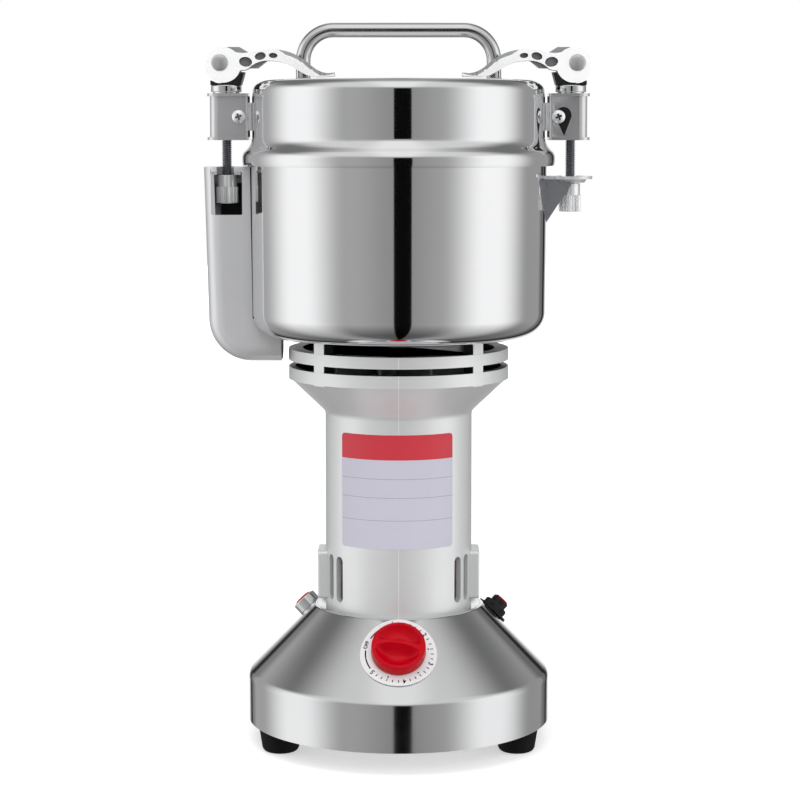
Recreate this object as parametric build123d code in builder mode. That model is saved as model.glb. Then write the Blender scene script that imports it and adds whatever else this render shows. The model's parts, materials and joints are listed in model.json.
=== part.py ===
from build123d import *
import os
from math import atan2, cos, degrees, radians, sin, sqrt

# Electric grain mill. Millimetres, +Z up, the front is -Y.
# The origin is on the floor, under the axis of the bowl and the motor.

# ---- clearances ----
seat_gap = 0.15  # between fixed pieces that sit in or round one another
run_gap = 0.3  # between pieces that move past one another
journal_gap = 0.05  # radial, a pin or shaft in its bore
hole_gap = 0.1  # radial, a screw in its hole

# ---- base ----
sheet = 1.0  # wall of the spun and folded steel
foot_h = 12.0
foot_top_r = 10.9
foot_bottom_r = 9.0
foot_edge = 3.0
foot_in = 17.5  # from the skirt to the middle of a foot
foot_y = 27.0
foot_screw_r = 2.0
foot_head_r = 3.8
pan_head_h = 2.4
head_room = 0.7  # radial, round a screw head in its well
foot_screw_grip = 5.0
base_r = 77.5
foot_x = base_r - foot_in
skirt_h = 24.3
skirt_top_z = foot_h + skirt_h
cone_h = 35.7
cone_top_z = skirt_top_z + cone_h
shoulder = 4.9  # ledge of the base round the column
lip_h = 2.5
lip_gap = 1.0  # between the rolled lip and the column
seat_z = cone_top_z - lip_h  # top of the inner ring that the motor housing stands on
seat_r = 24.0
plate_rim_h = 7.0

# ---- motor housing ----
column_r = 37.6
cone_top_r = column_r + shoulder
column_wall = 3.0
column_h = 102.0
flare_z = seat_z + column_h
rim_r = 56.2
flare_h = 17.0
rim_z = flare_z + flare_h
rim_h = 6.3
rim_top_z = rim_z + rim_h
ring_gap = 3.4  # open slot between the rim and the ring
ring_z = rim_top_z + ring_gap
ring_h = 5.8
ring_top_z = ring_z + ring_h
ring_inner_r = 49.0
ledge_drop = 2.5
ledge_z = rim_z - ledge_drop  # inside the bell, carries the bearing bracket
post_w = 7.0
bell_wall = 3.6
post_h = 7.0  # of the posts above the ring
bowl_z = ring_top_z + post_h  # underside of the bowl
vent_w = 5.5
vent_h = 23.6
vent_z = seat_z + 6.1
vent_top_z = vent_z + vent_h
vent_angles = (53, 66)  # from the front and from the back
boss_r = 4.0
boss_ring_r = 31.5
boss_angle = 22  # from the front and from the back
boss_h = 12.0
pad_w = 21.0
pad_h = 25.0
pad_z = seat_z + 5.5
pad_top_z = pad_z + pad_h
pad_t = 3.9
pad_x = column_r + pad_t

# ---- motor ----
brush_z = seat_z + 18.0
brush_w = 7.0
brush_t = 5.0
brush_length = 16.0
holder_wall = 1.8
commutator_r = 11.0
shaft_r = 4.0
main_shaft_r = 6.0
core_h = 42.0
core_z = seat_z + 38.5
core_top_z = core_z + core_h
core_r = 22.0
air_gap = 0.6
yoke_t = 5.5
coil_reach = 6.5  # how far the windings stand out of the core
lower_bearing_r = 11.0
lower_bearing_h = 7.0
upper_bearing_r = 16.0
upper_bearing_h = 10.0
cup_wall = 2.0
cup_window_w = 20.0
cup_window_h = 14.0
slot_count = 12
fan_h = 12.1
fan_z = ledge_z + 4.4
fan_top_z = fan_z + fan_h
fan_room = 7.0  # between the fan and the ring
fan_r = ring_inner_r - fan_room
fan_blades = 10

# ---- bowl and lid ----
bowl_r = 74.5
bowl_draw = 0.7  # the wall draws in from the rim to the floor
bowl_low_r = bowl_r - bowl_draw
bowl_h = 89.0
bowl_corner = 11.5
bowl_rim_z = bowl_z + bowl_h
bowl_rim_w = 2.9
bowl_hole_r = 8.0
lid_set_in = 0.3  # the wall of the lid stands in from the wall of the bowl
lid_r = bowl_r - lid_set_in
skirt_gap = 1.2  # between the rim of the bowl and the skirt of the lid
skirt_r = bowl_r + bowl_rim_w + skirt_gap + sheet
skirt_lap = 3.2  # the skirt reaches below the rim
skirt_z = bowl_rim_z - skirt_lap
skirt_in = 0.4  # the lower edge of the skirt is drawn in
flare_low_z = bowl_rim_z + 3.5
step_h = 6.5
flare_top_z = flare_low_z + step_h
lid_wall_h = 29.5
lid_edge_z = flare_top_z + lid_wall_h
lid_rise = 0.9
lid_top_z = lid_edge_z + lid_rise
lid_corner = 6.0
handle_r = 3.75
handle_half = 48.75
handle_y = 12.0
handle_h = 28.6
handle_top_z = lid_top_z + handle_h
handle_bend = 15.5

# ---- blades ----
blade_seat_z = bowl_z + 10.0
blade_t = 2.0
lower_blade_r = 60.0
upper_blade_r = 52.0
blade_gap = 8.0
blade_w = 22.0
lower_lift = 5.0
lower_hook = 6.0
upper_lift = 11.0
upper_hook = 5.0
stud_r = 5.0
stud_spare = 10.0  # of the stud above the upper blade
blade_washer_t = 1.5
blade_nut_h = 6.5
blade_nut_half = 8.0  # half its width over flats

# ---- clamps, one on each side of the lid ----
rod_off = 7.6  # between the skirt of the lid and the axis of a rod
rod_x = skirt_r + rod_off
rod_r = 2.45
bracket_t = 1.2
block_in = lid_r + bracket_t + 2 * seat_gap
block_cover = 8.1  # from the axis of the rod to the outside of the block
block_out = rod_x + block_cover
block_d = 17.5
block_z = flare_top_z + 1.0
block_h = 20.5
block_top_z = block_z + block_h
block_wall = 1.2
plate_t = 1.5
plate_out = 1.3
bracket_h = 14.0
ear_t = 1.1
ear_gap = 0.25  # between the ears and the rod
ear_out = rod_x - rod_r - ear_gap
block_screw_x = block_in + 4.9
block_head_r = 3.5
block_head_h = 2.0
cross_w = 3.6
cross_t = 0.9
cross_depth = 1.2
collar_r = 7.85
collar_h = 4.2
pin_off = 2.8  # of the pin outside the rod
pin_x = rod_x + pin_off
pin_rise = 11.1  # of the pin above the saddle seat
pin_z = block_top_z + plate_t + collar_h + pin_rise
pin_r = 4.2
eye_r = 6.2
eye_w = 5.4
lever_w = 14.0
cam_r = 8.9
cam_in = 1.7  # centre of the cam, inboard of the pin
cam_down = 1.1  # and below it
cam_drift = 2.05  # how far the cam wanders on the saddle while the lever opens
nut_r = 5.7
nut_neck_r = 5.0
nut_h = 14.4
nut_neck_h = 6.0
rod_up = 1.5  # the end of the rod stands up in the nut
lug_drop = 12.0  # of the hook lug below the rim of the bowl
left_nut_top = bowl_rim_z - 8.1
right_nut_top = bowl_rim_z - lug_drop - run_gap

# ---- interlock duct on the left ----
duct_half = 13.0
duct_cover = 11.3  # from the axis of the rod to the outside of the duct
duct_out = rod_x + duct_cover
duct_low_out = duct_out - 2.0
duct_drop = 4.0
duct_top_z = bowl_rim_z - duct_drop
duct_bend_z = bowl_z + 10.0
duct_floor_z = ring_z - 0.8
duct_end = rim_r + 3.3
duct_bend = 22.0
duct_corner = 8.0
window_x = rod_x + 7.4
window_in_x = rod_x - 8.4
window_h = 21.6
window_top_z = duct_top_z - 2.4
window_z = window_top_z - window_h
rod_slot_r = 4.35
dish_r = rod_slot_r + 3.35
plunger_length = 4.9
plunger_r = 1.5

# ---- hook lug on the right ----
lug_r = 11.3
lug_t = 1.5
lug_z = bowl_rim_z - lug_drop
lug_dish_r = 8.5
lug_rise = 1.8
lug_slot_r = 3.6
gusset_y = 7.5
gusset_z = lug_z - 21.0

# ---- controls on the cone ----
dial_down = 20.5861  # down the slope from the top of the cone
dial_r = 19.1
dial_t = 0.8
knob_r = 13.7
knob_h = 11.0
knob_turn = -9.0  # direction of the grip at rest
scoop_r = 12.0
timer_r = 15.0
timer_h = 20.0
spindle_r = 3.0
spindle_back = 9.0
timer_collar = 1.3
timer_face = -sheet - 1.7
button_down = 8.5425
button_azimuth = 162.0
bezel_r = 6.5
bezel_h = 5.5
button_r = 4.9
button_travel = 1.2
button_stem_r = 2.2
button_back = 8.0
bore_floor = 1.5  # of the bezel, above the cone
breaker_down = 12.3237
breaker_azimuth = 18.0
breaker_stem_r = 4.5
breaker_cap_r = 3.75
breaker_top = 7.8
breaker_back = 5.0
breaker_case_w = 15.0
breaker_case_h = 20.0
breaker_case_d = 18.0
breaker_flange_r = 8.65
breaker_flange_h = 1.0
breaker_nut_r = 6.5
breaker_nut_h = 3.5
panel_nut_w = 2.6  # of a panel nut outside its thread
panel_nut_t = 2.6
panel_washer_t = 0.9

# ---- power inlet in the back of the skirt ----
inlet_w = 27.0
inlet_h = 19.6
inlet_lip = 1.9  # the inlet stands out of the skirt
inlet_y = base_r + inlet_lip
inlet_pin_t = 2.0
inlet_pin_w = 4.0
inlet_depth = 20.0
socket_w = 23.6
socket_h = 15.6
socket_depth = 15.5

os.makedirs("parts", exist_ok=True)


def finish(piece, name):
    """Labels a finished piece and writes it as one STEP file."""
    piece.part.label = name
    export_step(piece.part, f"parts/{name}.step")


cone_run = base_r - cone_top_r
cone_slant = sqrt(cone_run**2 + cone_h**2)


def on_cone(height, azimuth):
    """Plane that touches the cone of the base, local Z outwards and local Y up the slope."""
    r = base_r - (height - skirt_top_z) * cone_run / cone_h
    a = radians(azimuth)
    return Plane(
        origin=(r * cos(a), r * sin(a), height),
        x_dir=(-sin(a), cos(a), 0),
        z_dir=(cone_h / cone_slant * cos(a), cone_h / cone_slant * sin(a), cone_run / cone_slant),
    )


def down_cone(distance, azimuth):
    """Plane on the cone at a distance down the slope from its top edge."""
    return on_cone(cone_top_z - distance * cone_h / cone_slant, azimuth)


def corner(line, r, z):
    """The corner of an open profile that lies at a radius and a height."""
    return line.vertices().sort_by_distance((r, z, 0))[0:1]


def clamp_plane(side):
    """Plane through the lever pin: local X points inboard and local Y up."""
    return Plane(origin=(side * pin_x, 0, pin_z), x_dir=(-side, 0, 0), z_dir=(0, side, 0))


def radial_plane(azimuth, r, height):
    """Plane square to a radius, local X along the circumference and local Y up."""
    a = radians(azimuth)
    return Plane(
        origin=(r * cos(a), r * sin(a), height), x_dir=(-sin(a), cos(a), 0), z_dir=(cos(a), sin(a), 0)
    )


def tube(r, bore, z, top):
    """Plain ring round the main axis, inside the current part."""
    with BuildSketch(Plane.XY.offset(z)) as section:
        Circle(r)
        Circle(bore, mode=Mode.SUBTRACT)
    extrude(section.sketch, amount=top - z)


dial = down_cone(dial_down, -90)
button_plane = down_cone(button_down, button_azimuth)
breaker_plane = down_cone(breaker_down, breaker_azimuth)
inlet_face = Plane(origin=(0, inlet_y, (foot_h + skirt_top_z) / 2 - 0.6), x_dir=(-1, 0, 0), z_dir=(0, 1, 0))
block_mid_z = (block_z + block_top_z) / 2
collar_z = block_top_z + plate_t
saddle_z = collar_z + collar_h
feet = [(x, y) for x in (-foot_x, foot_x) for y in (-foot_y, foot_y)]
boss_turns = [radians(turn + hand * boss_angle) for turn in (-90, 90) for hand in (-1, 1)]
bosses = [(boss_ring_r * cos(turn), boss_ring_r * sin(turn)) for turn in boss_turns]
post_angles = (45, 135, 225, 315)
bowl_screw_ring = (rim_r + ring_inner_r) / 2

# ================= base =================
with BuildPart() as one_foot:
    with BuildSketch(Plane.XZ) as foot_profile:
        with BuildLine():
            Polyline((0, 0), (foot_bottom_r, 0), (foot_top_r, foot_h), (0, foot_h), close=True)
        make_face()
        fillet(foot_profile.vertices().group_by(Axis.Y)[0].sort_by(Axis.X)[-1], foot_edge)
    revolve(axis=Axis.Z)
    with Locations(Location((0, 0, 0), (180, 0, 0))):
        CounterBoreHole(foot_screw_r + hole_gap, foot_head_r + head_room, foot_h / 2, depth=foot_h)

with BuildPart() as rubber_feet:
    with Locations(*feet):
        add(one_foot.part)
finish(rubber_feet, "rubber_feet")

# Pan head screws, up through the feet into the bottom plate.
with BuildPart() as foot_screws:
    with BuildSketch(Plane.XY.offset(foot_h / 2 - pan_head_h)):
        with Locations(*feet):
            Circle(foot_head_r)
    extrude(amount=pan_head_h)
    with BuildSketch(Plane.XY.offset(foot_h / 2)):
        with Locations(*feet):
            Circle(foot_screw_r)
    extrude(amount=foot_h / 2 + foot_screw_grip)
finish(foot_screws, "foot_screws")

# One spun sheet: skirt, cone, rolled lip and the flat ring that the motor stands on.
with BuildPart() as base_shell:
    with BuildSketch(Plane.XZ):
        with BuildLine() as shell_line:
            Polyline(
                (base_r, foot_h),
                (base_r, skirt_top_z),
                (cone_top_r, cone_top_z),
                (column_r + lip_gap, seat_z),
                (seat_r, seat_z),
            )
            fillet(corner(shell_line, base_r, skirt_top_z), radius=2.2)
            fillet(corner(shell_line, cone_top_r, cone_top_z), radius=2.2)
            offset(amount=sheet, side=Side.LEFT)
        make_face()
    revolve(axis=Axis.Z)
    with BuildSketch(Plane.XY.offset(seat_z)):
        with Locations(*bosses):
            Circle(foot_screw_r + hole_gap)
    extrude(amount=-2 * sheet, mode=Mode.SUBTRACT)
    with BuildSketch(dial):
        Circle(spindle_r + 1.5)
    extrude(amount=4 * sheet, both=True, mode=Mode.SUBTRACT)
    with BuildSketch(button_plane):
        Circle(bezel_r - 1.0)
    extrude(amount=3 * sheet, both=True, mode=Mode.SUBTRACT)
    with BuildSketch(breaker_plane):
        Circle(breaker_stem_r + 1.0)
    extrude(amount=3 * sheet, both=True, mode=Mode.SUBTRACT)
    with BuildSketch(inlet_face):
        RectangleRounded(inlet_w + 2 * seat_gap, inlet_h + 2 * seat_gap, 1.5)
    extrude(amount=-inlet_depth, mode=Mode.SUBTRACT)
finish(base_shell, "base_shell")

# Bottom plate with an upturned rim and air slots under the motor.
plate_r = base_r - sheet - seat_gap
with BuildPart() as base_plate:
    with BuildSketch(Plane.XZ):
        with BuildLine() as plate_line:
            Polyline((0, foot_h), (plate_r, foot_h), (plate_r, foot_h + plate_rim_h))
            fillet(corner(plate_line, plate_r, foot_h), radius=2.0)
            offset(amount=sheet, side=Side.LEFT)
        make_face()
    revolve(axis=Axis.Z)
    with BuildSketch(Plane.XY.offset(foot_h)):
        with Locations(*feet):
            Circle(foot_screw_r + hole_gap)
        with GridLocations(9, 0, 5, 1):
            SlotOverall(36, 4, rotation=90)
    extrude(amount=2 * sheet, mode=Mode.SUBTRACT)
    with BuildSketch(inlet_face):
        Rectangle(inlet_w + 2, inlet_h + 2)
    extrude(amount=-inlet_depth - 5, mode=Mode.SUBTRACT)
finish(base_plate, "base_plate")

# ================= motor housing =================
with BuildPart() as motor_housing:
    with BuildSketch(Plane.XZ) as housing_profile:
        with BuildLine():
            Polyline(
                (column_r - column_wall, seat_z),
                (column_r, seat_z),
                (column_r, flare_z),
                (rim_r - 0.8, rim_z),
                (rim_r, rim_z),
                (rim_r, rim_top_z),
                (rim_r - bell_wall, rim_top_z),
                (rim_r - bell_wall, ledge_z + 2),
                (ring_inner_r, ledge_z),
                (ring_inner_r - 2, ledge_z),
                (column_r - column_wall, flare_z + 1.5),
                close=True,
            )
        make_face()
        fillet(housing_profile.vertices().sort_by_distance((column_r, flare_z))[0], 4.0)
    revolve(axis=Axis.Z)
    tube(rim_r, ring_inner_r, ring_z, ring_top_z)
    # Four posts join the rim, the ring and the bowl.
    for angle in post_angles:
        with BuildSketch(Plane.XY.offset(ledge_z + 2)):
            with PolarLocations(bowl_screw_ring, 1, start_angle=angle):
                Rectangle(rim_r - ring_inner_r - 0.6, post_w)
        extrude(amount=bowl_z - ledge_z - 2)
    # Screw bosses at the foot of the column.
    with BuildSketch(Plane.XY.offset(seat_z)):
        with Locations(*bosses):
            Circle(boss_r)
    extrude(amount=boss_h)
    with BuildSketch(Plane.XY.offset(seat_z)):
        with Locations(*bosses):
            Circle(foot_screw_r + hole_gap)
    extrude(amount=boss_h - 2, mode=Mode.SUBTRACT)
    with BuildSketch(Plane.XY.offset(bowl_z)):
        with PolarLocations(bowl_screw_ring, 4, start_angle=post_angles[0]):
            Circle(foot_screw_r + hole_gap)
    extrude(amount=-12, mode=Mode.SUBTRACT)
    # Upright air slots, on both sides of the front and of the back.
    for turn in (-90, 90):
        for angle in vent_angles:
            for hand in (-1, 1):
                with BuildSketch(radial_plane(turn + hand * angle, column_r + 2, (vent_z + vent_top_z) / 2)):
                    SlotOverall(vent_top_z - vent_z, vent_w, rotation=90)
                extrude(amount=-column_wall - 4, mode=Mode.SUBTRACT)
    # Windows for the brush holders.
    with BuildSketch(Plane.YZ.offset(-column_r - 2)):
        with Locations((0, brush_z)):
            Rectangle(brush_w + 2 * holder_wall + 2 * seat_gap, brush_t + 2 * holder_wall + 2 * seat_gap)
    extrude(amount=2 * column_r + 4, mode=Mode.SUBTRACT)
finish(motor_housing, "motor_housing")

with BuildPart() as housing_screws:
    with BuildSketch(Plane.XY.offset(seat_z - sheet)):
        with Locations(*bosses):
            Circle(foot_head_r)
    extrude(amount=-pan_head_h)
    with BuildSketch(Plane.XY.offset(seat_z - sheet)):
        with Locations(*bosses):
            Circle(foot_screw_r)
    extrude(amount=boss_h - 2)

# A cover pad over each brush, its back hollowed to the column.
with BuildPart() as brush_covers:
    for side in (-1, 1):
        with BuildSketch(Plane.YZ.offset(side * (column_r - 3))):
            with Locations((0, (pad_z + pad_top_z) / 2)):
                RectangleRounded(pad_w, pad_top_z - pad_z, 2.0)
        extrude(amount=side * (pad_x - column_r + 3))
    fillet(brush_covers.faces().sort_by(Axis.X)[0].edges(), 1.0)
    fillet(brush_covers.faces().sort_by(Axis.X)[-1].edges(), 1.0)
    with BuildSketch(Plane.XY.offset(pad_z - 1)):
        Circle(column_r + journal_gap)
    extrude(amount=pad_top_z - pad_z + 2, mode=Mode.SUBTRACT)
finish(brush_covers, "brush_covers")

# ================= motor, fixed side =================
core_bore = core_r + air_gap
stator_r = column_r - column_wall - seat_gap
yoke_r = stator_r - yoke_t

# Plastic cup for the lower bearing and the brush holders.
cup_r = boss_ring_r - boss_r - 0.4
with BuildPart() as brush_bracket:
    tube(cup_r, lower_bearing_r + 1, seat_z, seat_z + cup_wall)
    tube(lower_bearing_r + 2.2, lower_bearing_r + journal_gap, seat_z, seat_z + lower_bearing_h + cup_wall)
    tube(lower_bearing_r + 2.2, lower_bearing_r - 2.5, seat_z, seat_z + 1.2)
    tube(cup_r, cup_r - cup_wall, seat_z, core_z - coil_reach - 1.0)
    with BuildSketch(Plane.YZ.offset(-cup_r - 1)):
        with Locations((0, brush_z)):
            Rectangle(brush_w + 2 * holder_wall + 2 * seat_gap, brush_t + 2 * holder_wall + 2 * seat_gap)
    extrude(amount=2 * cup_r + 2, mode=Mode.SUBTRACT)
    with BuildSketch(Plane.XZ.offset(-cup_r - 1)):
        with Locations((0, brush_z)):
            SlotOverall(cup_window_w, cup_window_h)
    extrude(amount=2 * cup_r + 2, mode=Mode.SUBTRACT)
finish(brush_bracket, "brush_bracket")

with BuildPart() as brush_holders:
    for side in (-1, 1):
        with BuildSketch(Plane.YZ.offset(side * (commutator_r + 3))):
            with Locations((0, brush_z)):
                Rectangle(brush_w + 2 * holder_wall, brush_t + 2 * holder_wall)
                Rectangle(brush_w + 2 * journal_gap, brush_t + 2 * journal_gap, mode=Mode.SUBTRACT)
        extrude(amount=side * (column_r - commutator_r - 3.6))
        with BuildSketch(Plane.YZ.offset(side * (column_r - 0.6))):
            with Locations((0, brush_z)):
                Rectangle(brush_w + 2 * holder_wall, brush_t + 2 * holder_wall)
        extrude(amount=-side * 1.5)
finish(brush_holders, "brush_holders")

with BuildPart() as carbon_brushes:
    for side in (-1, 1):
        with BuildSketch(Plane.YZ.offset(side * (commutator_r - 1))):
            with Locations((0, brush_z)):
                Rectangle(brush_w, brush_t)
        extrude(amount=side * brush_length)
    with BuildSketch(Plane.XY.offset(brush_z - brush_t)):
        Circle(commutator_r + run_gap)
    extrude(amount=2 * brush_t, mode=Mode.SUBTRACT)
finish(carbon_brushes, "carbon_brushes")

# Laminated stator: a ring with two flats and two pole shoes.
with BuildPart() as stator_core:
    with BuildSketch(Plane.XY.offset(core_z)):
        Circle(stator_r)
        Circle(yoke_r, mode=Mode.SUBTRACT)
        with Locations((0, yoke_r / 2 + core_bore / 2), (0, -yoke_r / 2 - core_bore / 2)):
            Rectangle(1.1 * core_r, yoke_r - core_bore + 6)
        with BuildSketch(mode=Mode.PRIVATE) as shoes:
            Circle(core_bore + 1.6)
            with Locations((core_bore, 0), (-core_bore, 0)):
                Rectangle(core_bore, 3 * core_bore, mode=Mode.SUBTRACT)
        add(shoes.sketch)
        Circle(core_bore, mode=Mode.SUBTRACT)
        with Locations((stator_r, 0), (-stator_r, 0)):
            Rectangle(5, 2 * stator_r, mode=Mode.SUBTRACT)
    extrude(amount=core_top_z - core_z)
finish(stator_core, "stator_core")

# A saddle shaped coil round each pole.
coil_r = core_bore + 2.0
with BuildPart() as field_coils:
    tube(yoke_r - 0.3, coil_r, core_z - coil_reach, core_top_z + coil_reach)
    with BuildSketch(Plane.XZ.offset(-stator_r)):
        with Locations((0, (core_z + core_top_z) / 2)):
            Rectangle(1.1 * core_r + 0.6, core_top_z - core_z + 0.6)
    extrude(amount=2 * stator_r, mode=Mode.SUBTRACT)
    with BuildSketch(Plane.YZ.offset(-stator_r)):
        with Locations((0, (core_z + core_top_z) / 2)):
            Rectangle(16, core_top_z - core_z + 4 * coil_reach)
    extrude(amount=2 * stator_r, mode=Mode.SUBTRACT)
finish(field_coils, "field_coils")


def ball_bearing(r, bore, z, h):
    """Sealed ball bearing, with a groove between its rings on both faces."""
    with BuildPart() as bearing:
        tube(r, bore, z, z + h)
        groove_r = bore + 0.68 * (r - bore)
        groove_in = bore + 0.32 * (r - bore)
        for face in (z, z + h):
            with BuildSketch(Plane.XY.offset(face)):
                Circle(groove_r)
                Circle(groove_in, mode=Mode.SUBTRACT)
            extrude(amount=0.5, both=True, mode=Mode.SUBTRACT)
    return bearing


lower_bearing = ball_bearing(lower_bearing_r, shaft_r + journal_gap, seat_z + 1.3, lower_bearing_h)
finish(lower_bearing, "lower_bearing")
upper_bearing_z = ledge_z - upper_bearing_h - 1.0
upper_bearing = ball_bearing(upper_bearing_r, main_shaft_r + journal_gap, upper_bearing_z, upper_bearing_h)
finish(upper_bearing, "upper_bearing")

# Cast bracket over the motor that holds the upper bearing, with six air openings.
with BuildPart() as bearing_bracket:
    tube(ring_inner_r - seat_gap, main_shaft_r + 3, ledge_z, ledge_z + 2.5)
    tube(upper_bearing_r + 3, upper_bearing_r + journal_gap, upper_bearing_z, ledge_z + 1)
    with BuildSketch(Plane.XY.offset(ledge_z)):
        with PolarLocations((upper_bearing_r + ring_inner_r) / 2, 6, start_angle=30):
            SlotOverall(22, 13, rotation=90)
    extrude(amount=3, mode=Mode.SUBTRACT)
finish(bearing_bracket, "bearing_bracket")

# ================= rotor =================
with BuildPart() as rotor_shaft:
    with BuildSketch(Plane.XZ):
        with BuildLine():
            Polyline(
                (0, seat_z - 1.5),
                (shaft_r, seat_z - 1.5),
                (shaft_r, core_top_z + coil_reach + 2),
                (main_shaft_r, core_top_z + coil_reach + 2),
                (main_shaft_r, bowl_z + 3.3),
                (main_shaft_r + 3, bowl_z + 3.3),
                (main_shaft_r + 3, blade_seat_z),
                (stud_r, blade_seat_z),
                (stud_r, blade_seat_z + 2 * blade_t + blade_gap + stud_spare),
                (0, blade_seat_z + 2 * blade_t + blade_gap + stud_spare),
                close=True,
            )
        make_face()
    revolve(axis=Axis.Z)
finish(rotor_shaft, "rotor_shaft")

with BuildPart() as armature_core:
    with BuildSketch(Plane.XY.offset(core_z)):
        Circle(core_r)
        Circle(shaft_r + journal_gap, mode=Mode.SUBTRACT)
        with PolarLocations(core_r - 4, slot_count):
            SlotOverall(9, 4.4, mode=Mode.SUBTRACT)
    extrude(amount=core_top_z - core_z)
finish(armature_core, "armature_core")

# End turns above and below the core, joined by the wires in its slots.
with BuildPart() as armature_coils:
    tube(core_r - 1.5, shaft_r + 1.5, core_z - coil_reach + 1, core_z)
    tube(core_r - 1.5, shaft_r + 1.5, core_top_z, core_top_z + coil_reach - 1)
    with BuildSketch(Plane.XY.offset(core_z - 1)):
        with PolarLocations(core_r - 4.2, slot_count):
            Rectangle(5.4, 4.0)
    extrude(amount=core_top_z - core_z + 2)
finish(armature_coils, "armature_coils")

with BuildPart() as commutator:
    tube(commutator_r, shaft_r + journal_gap, seat_z + lower_bearing_h + 3, core_z - coil_reach - 1.5)
    tube(commutator_r + 1.6, shaft_r + journal_gap, core_z - coil_reach - 4, core_z - coil_reach - 1.5)
finish(commutator, "commutator")

# Fan that draws air up through the motor and throws it out under the bowl.
with BuildPart() as cooling_fan:
    tube(main_shaft_r + 5, main_shaft_r + journal_gap, fan_z, fan_top_z)
    tube(fan_r, main_shaft_r + 4, fan_top_z - 1.2, fan_top_z)
    for index in range(fan_blades):
        with BuildSketch(Plane.XY.offset(fan_z)):
            with PolarLocations((main_shaft_r + 5 + fan_r) / 2, 1, start_angle=index * 360 / fan_blades):
                Rectangle(fan_r - main_shaft_r - 5.4, 1.4, rotation=14)
        extrude(amount=fan_top_z - fan_z)
finish(cooling_fan, "cooling_fan")

# ================= bowl =================
with BuildPart() as bowl:
    with BuildSketch(Plane.XZ):
        with BuildLine() as bowl_line:
            Polyline(
                (bowl_hole_r, bowl_z),
                (bowl_low_r, bowl_z),
                (bowl_r, bowl_rim_z),
                (bowl_r + bowl_rim_w, bowl_rim_z),
            )
            fillet(corner(bowl_line, bowl_low_r, bowl_z), radius=bowl_corner)
            fillet(corner(bowl_line, bowl_r, bowl_rim_z), radius=0.8)
            offset(amount=sheet, side=Side.LEFT)
        make_face()
    revolve(axis=Axis.Z)
    with BuildSketch(Plane.XY.offset(bowl_z)):
        with PolarLocations(bowl_screw_ring, 4, start_angle=post_angles[0]):
            Circle(foot_screw_r + hole_gap)
    extrude(amount=2 * sheet, mode=Mode.SUBTRACT)
finish(bowl, "bowl")

with BuildPart() as bowl_screws:
    with BuildSketch(Plane.XY.offset(bowl_z + sheet)):
        with PolarLocations(bowl_screw_ring, 4, start_angle=post_angles[0]):
            Circle(foot_head_r)
    extrude(amount=2.0)
    fillet(bowl_screws.faces().sort_by(Axis.Z)[-4:].edges(), 1.2)
    with BuildSketch(Plane.XY.offset(bowl_z + sheet)):
        with PolarLocations(bowl_screw_ring, 4, start_angle=post_angles[0]):
            Circle(foot_screw_r)
    extrude(amount=-sheet - 10)

# The screws of the housing and of the bowl are one group.
with BuildPart() as machine_screws:
    add(housing_screws.part)
    add(bowl_screws.part)
finish(machine_screws, "machine_screws")

# Rubber seal round the shaft, its flange on the floor of the bowl.
with BuildPart() as shaft_seal:
    tube(bowl_hole_r - seat_gap, main_shaft_r + run_gap, bowl_z - 2.5, bowl_z + sheet)
    tube(bowl_hole_r + 5, main_shaft_r + run_gap, bowl_z + sheet, bowl_z + sheet + 1.5)
finish(shaft_seal, "shaft_seal")

# ================= blades =================


def blade(z, reach, lift, width, hook):
    """Two winged blade: flat in the middle, its tips bent up, its wings swept into sickles."""
    with BuildPart() as piece:
        with BuildSketch(Plane.XZ):
            with BuildLine() as side_line:
                Polyline((-reach, z + lift), (-0.62 * reach, z), (0.62 * reach, z), (reach, z + lift))
                offset(amount=blade_t, side=Side.LEFT)
            make_face()
        extrude(amount=width, both=True)
        with BuildSketch(Plane.XY.offset(z - 1)) as plan:
            Circle(0.5 * width)
            for turn in (0, 180):
                with BuildLine(Plane.XY.rotated((0, 0, turn))):
                    lead = Spline((0, width / 2), (0.5 * reach, 0.42 * width), (reach, -hook))
                    tip = Line(lead @ 1, (reach - 0.25 * width, -hook - 0.18 * width))
                    trail = Spline(tip @ 1, (0.5 * reach, -0.28 * width), (0, -width / 2))
                    Line(trail @ 1, lead @ 0)
                make_face()
            Circle(stud_r + journal_gap, mode=Mode.SUBTRACT)
        extrude(amount=lift + 2 * blade_t + 2, mode=Mode.INTERSECT)
    return piece


lower_blade = blade(blade_seat_z, lower_blade_r, lower_lift, blade_w, lower_hook)
finish(lower_blade, "lower_blade")
upper_blade_z = blade_seat_z + blade_t + blade_gap
upper_blade = blade(upper_blade_z, upper_blade_r, upper_lift, blade_w, upper_hook)
upper_blade.part = upper_blade.part.rotate(Axis.Z, 90)
finish(upper_blade, "upper_blade")

with BuildPart() as blade_spacer:
    tube(main_shaft_r + 3, stud_r + journal_gap, blade_seat_z + blade_t, upper_blade_z)
finish(blade_spacer, "blade_spacer")

washer_z = upper_blade_z + blade_t
with BuildPart() as blade_washer:
    tube(main_shaft_r + 4, stud_r + journal_gap, washer_z, washer_z + blade_washer_t)
finish(blade_washer, "blade_washer")

with BuildPart() as blade_nut:
    with BuildSketch(Plane.XY.offset(washer_z + blade_washer_t)):
        RegularPolygon(blade_nut_half, 6, major_radius=False)
        Circle(stud_r + journal_gap, mode=Mode.SUBTRACT)
    extrude(amount=blade_nut_h)
finish(blade_nut, "blade_nut")

# ================= lid =================
crown_r = (lid_r**2 + (lid_top_z - lid_edge_z) ** 2) / (2 * (lid_top_z - lid_edge_z))


def crown_z(r):
    """Height of the slightly domed top of the lid at a radius."""
    return lid_top_z - crown_r + sqrt(crown_r**2 - r**2)


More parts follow.
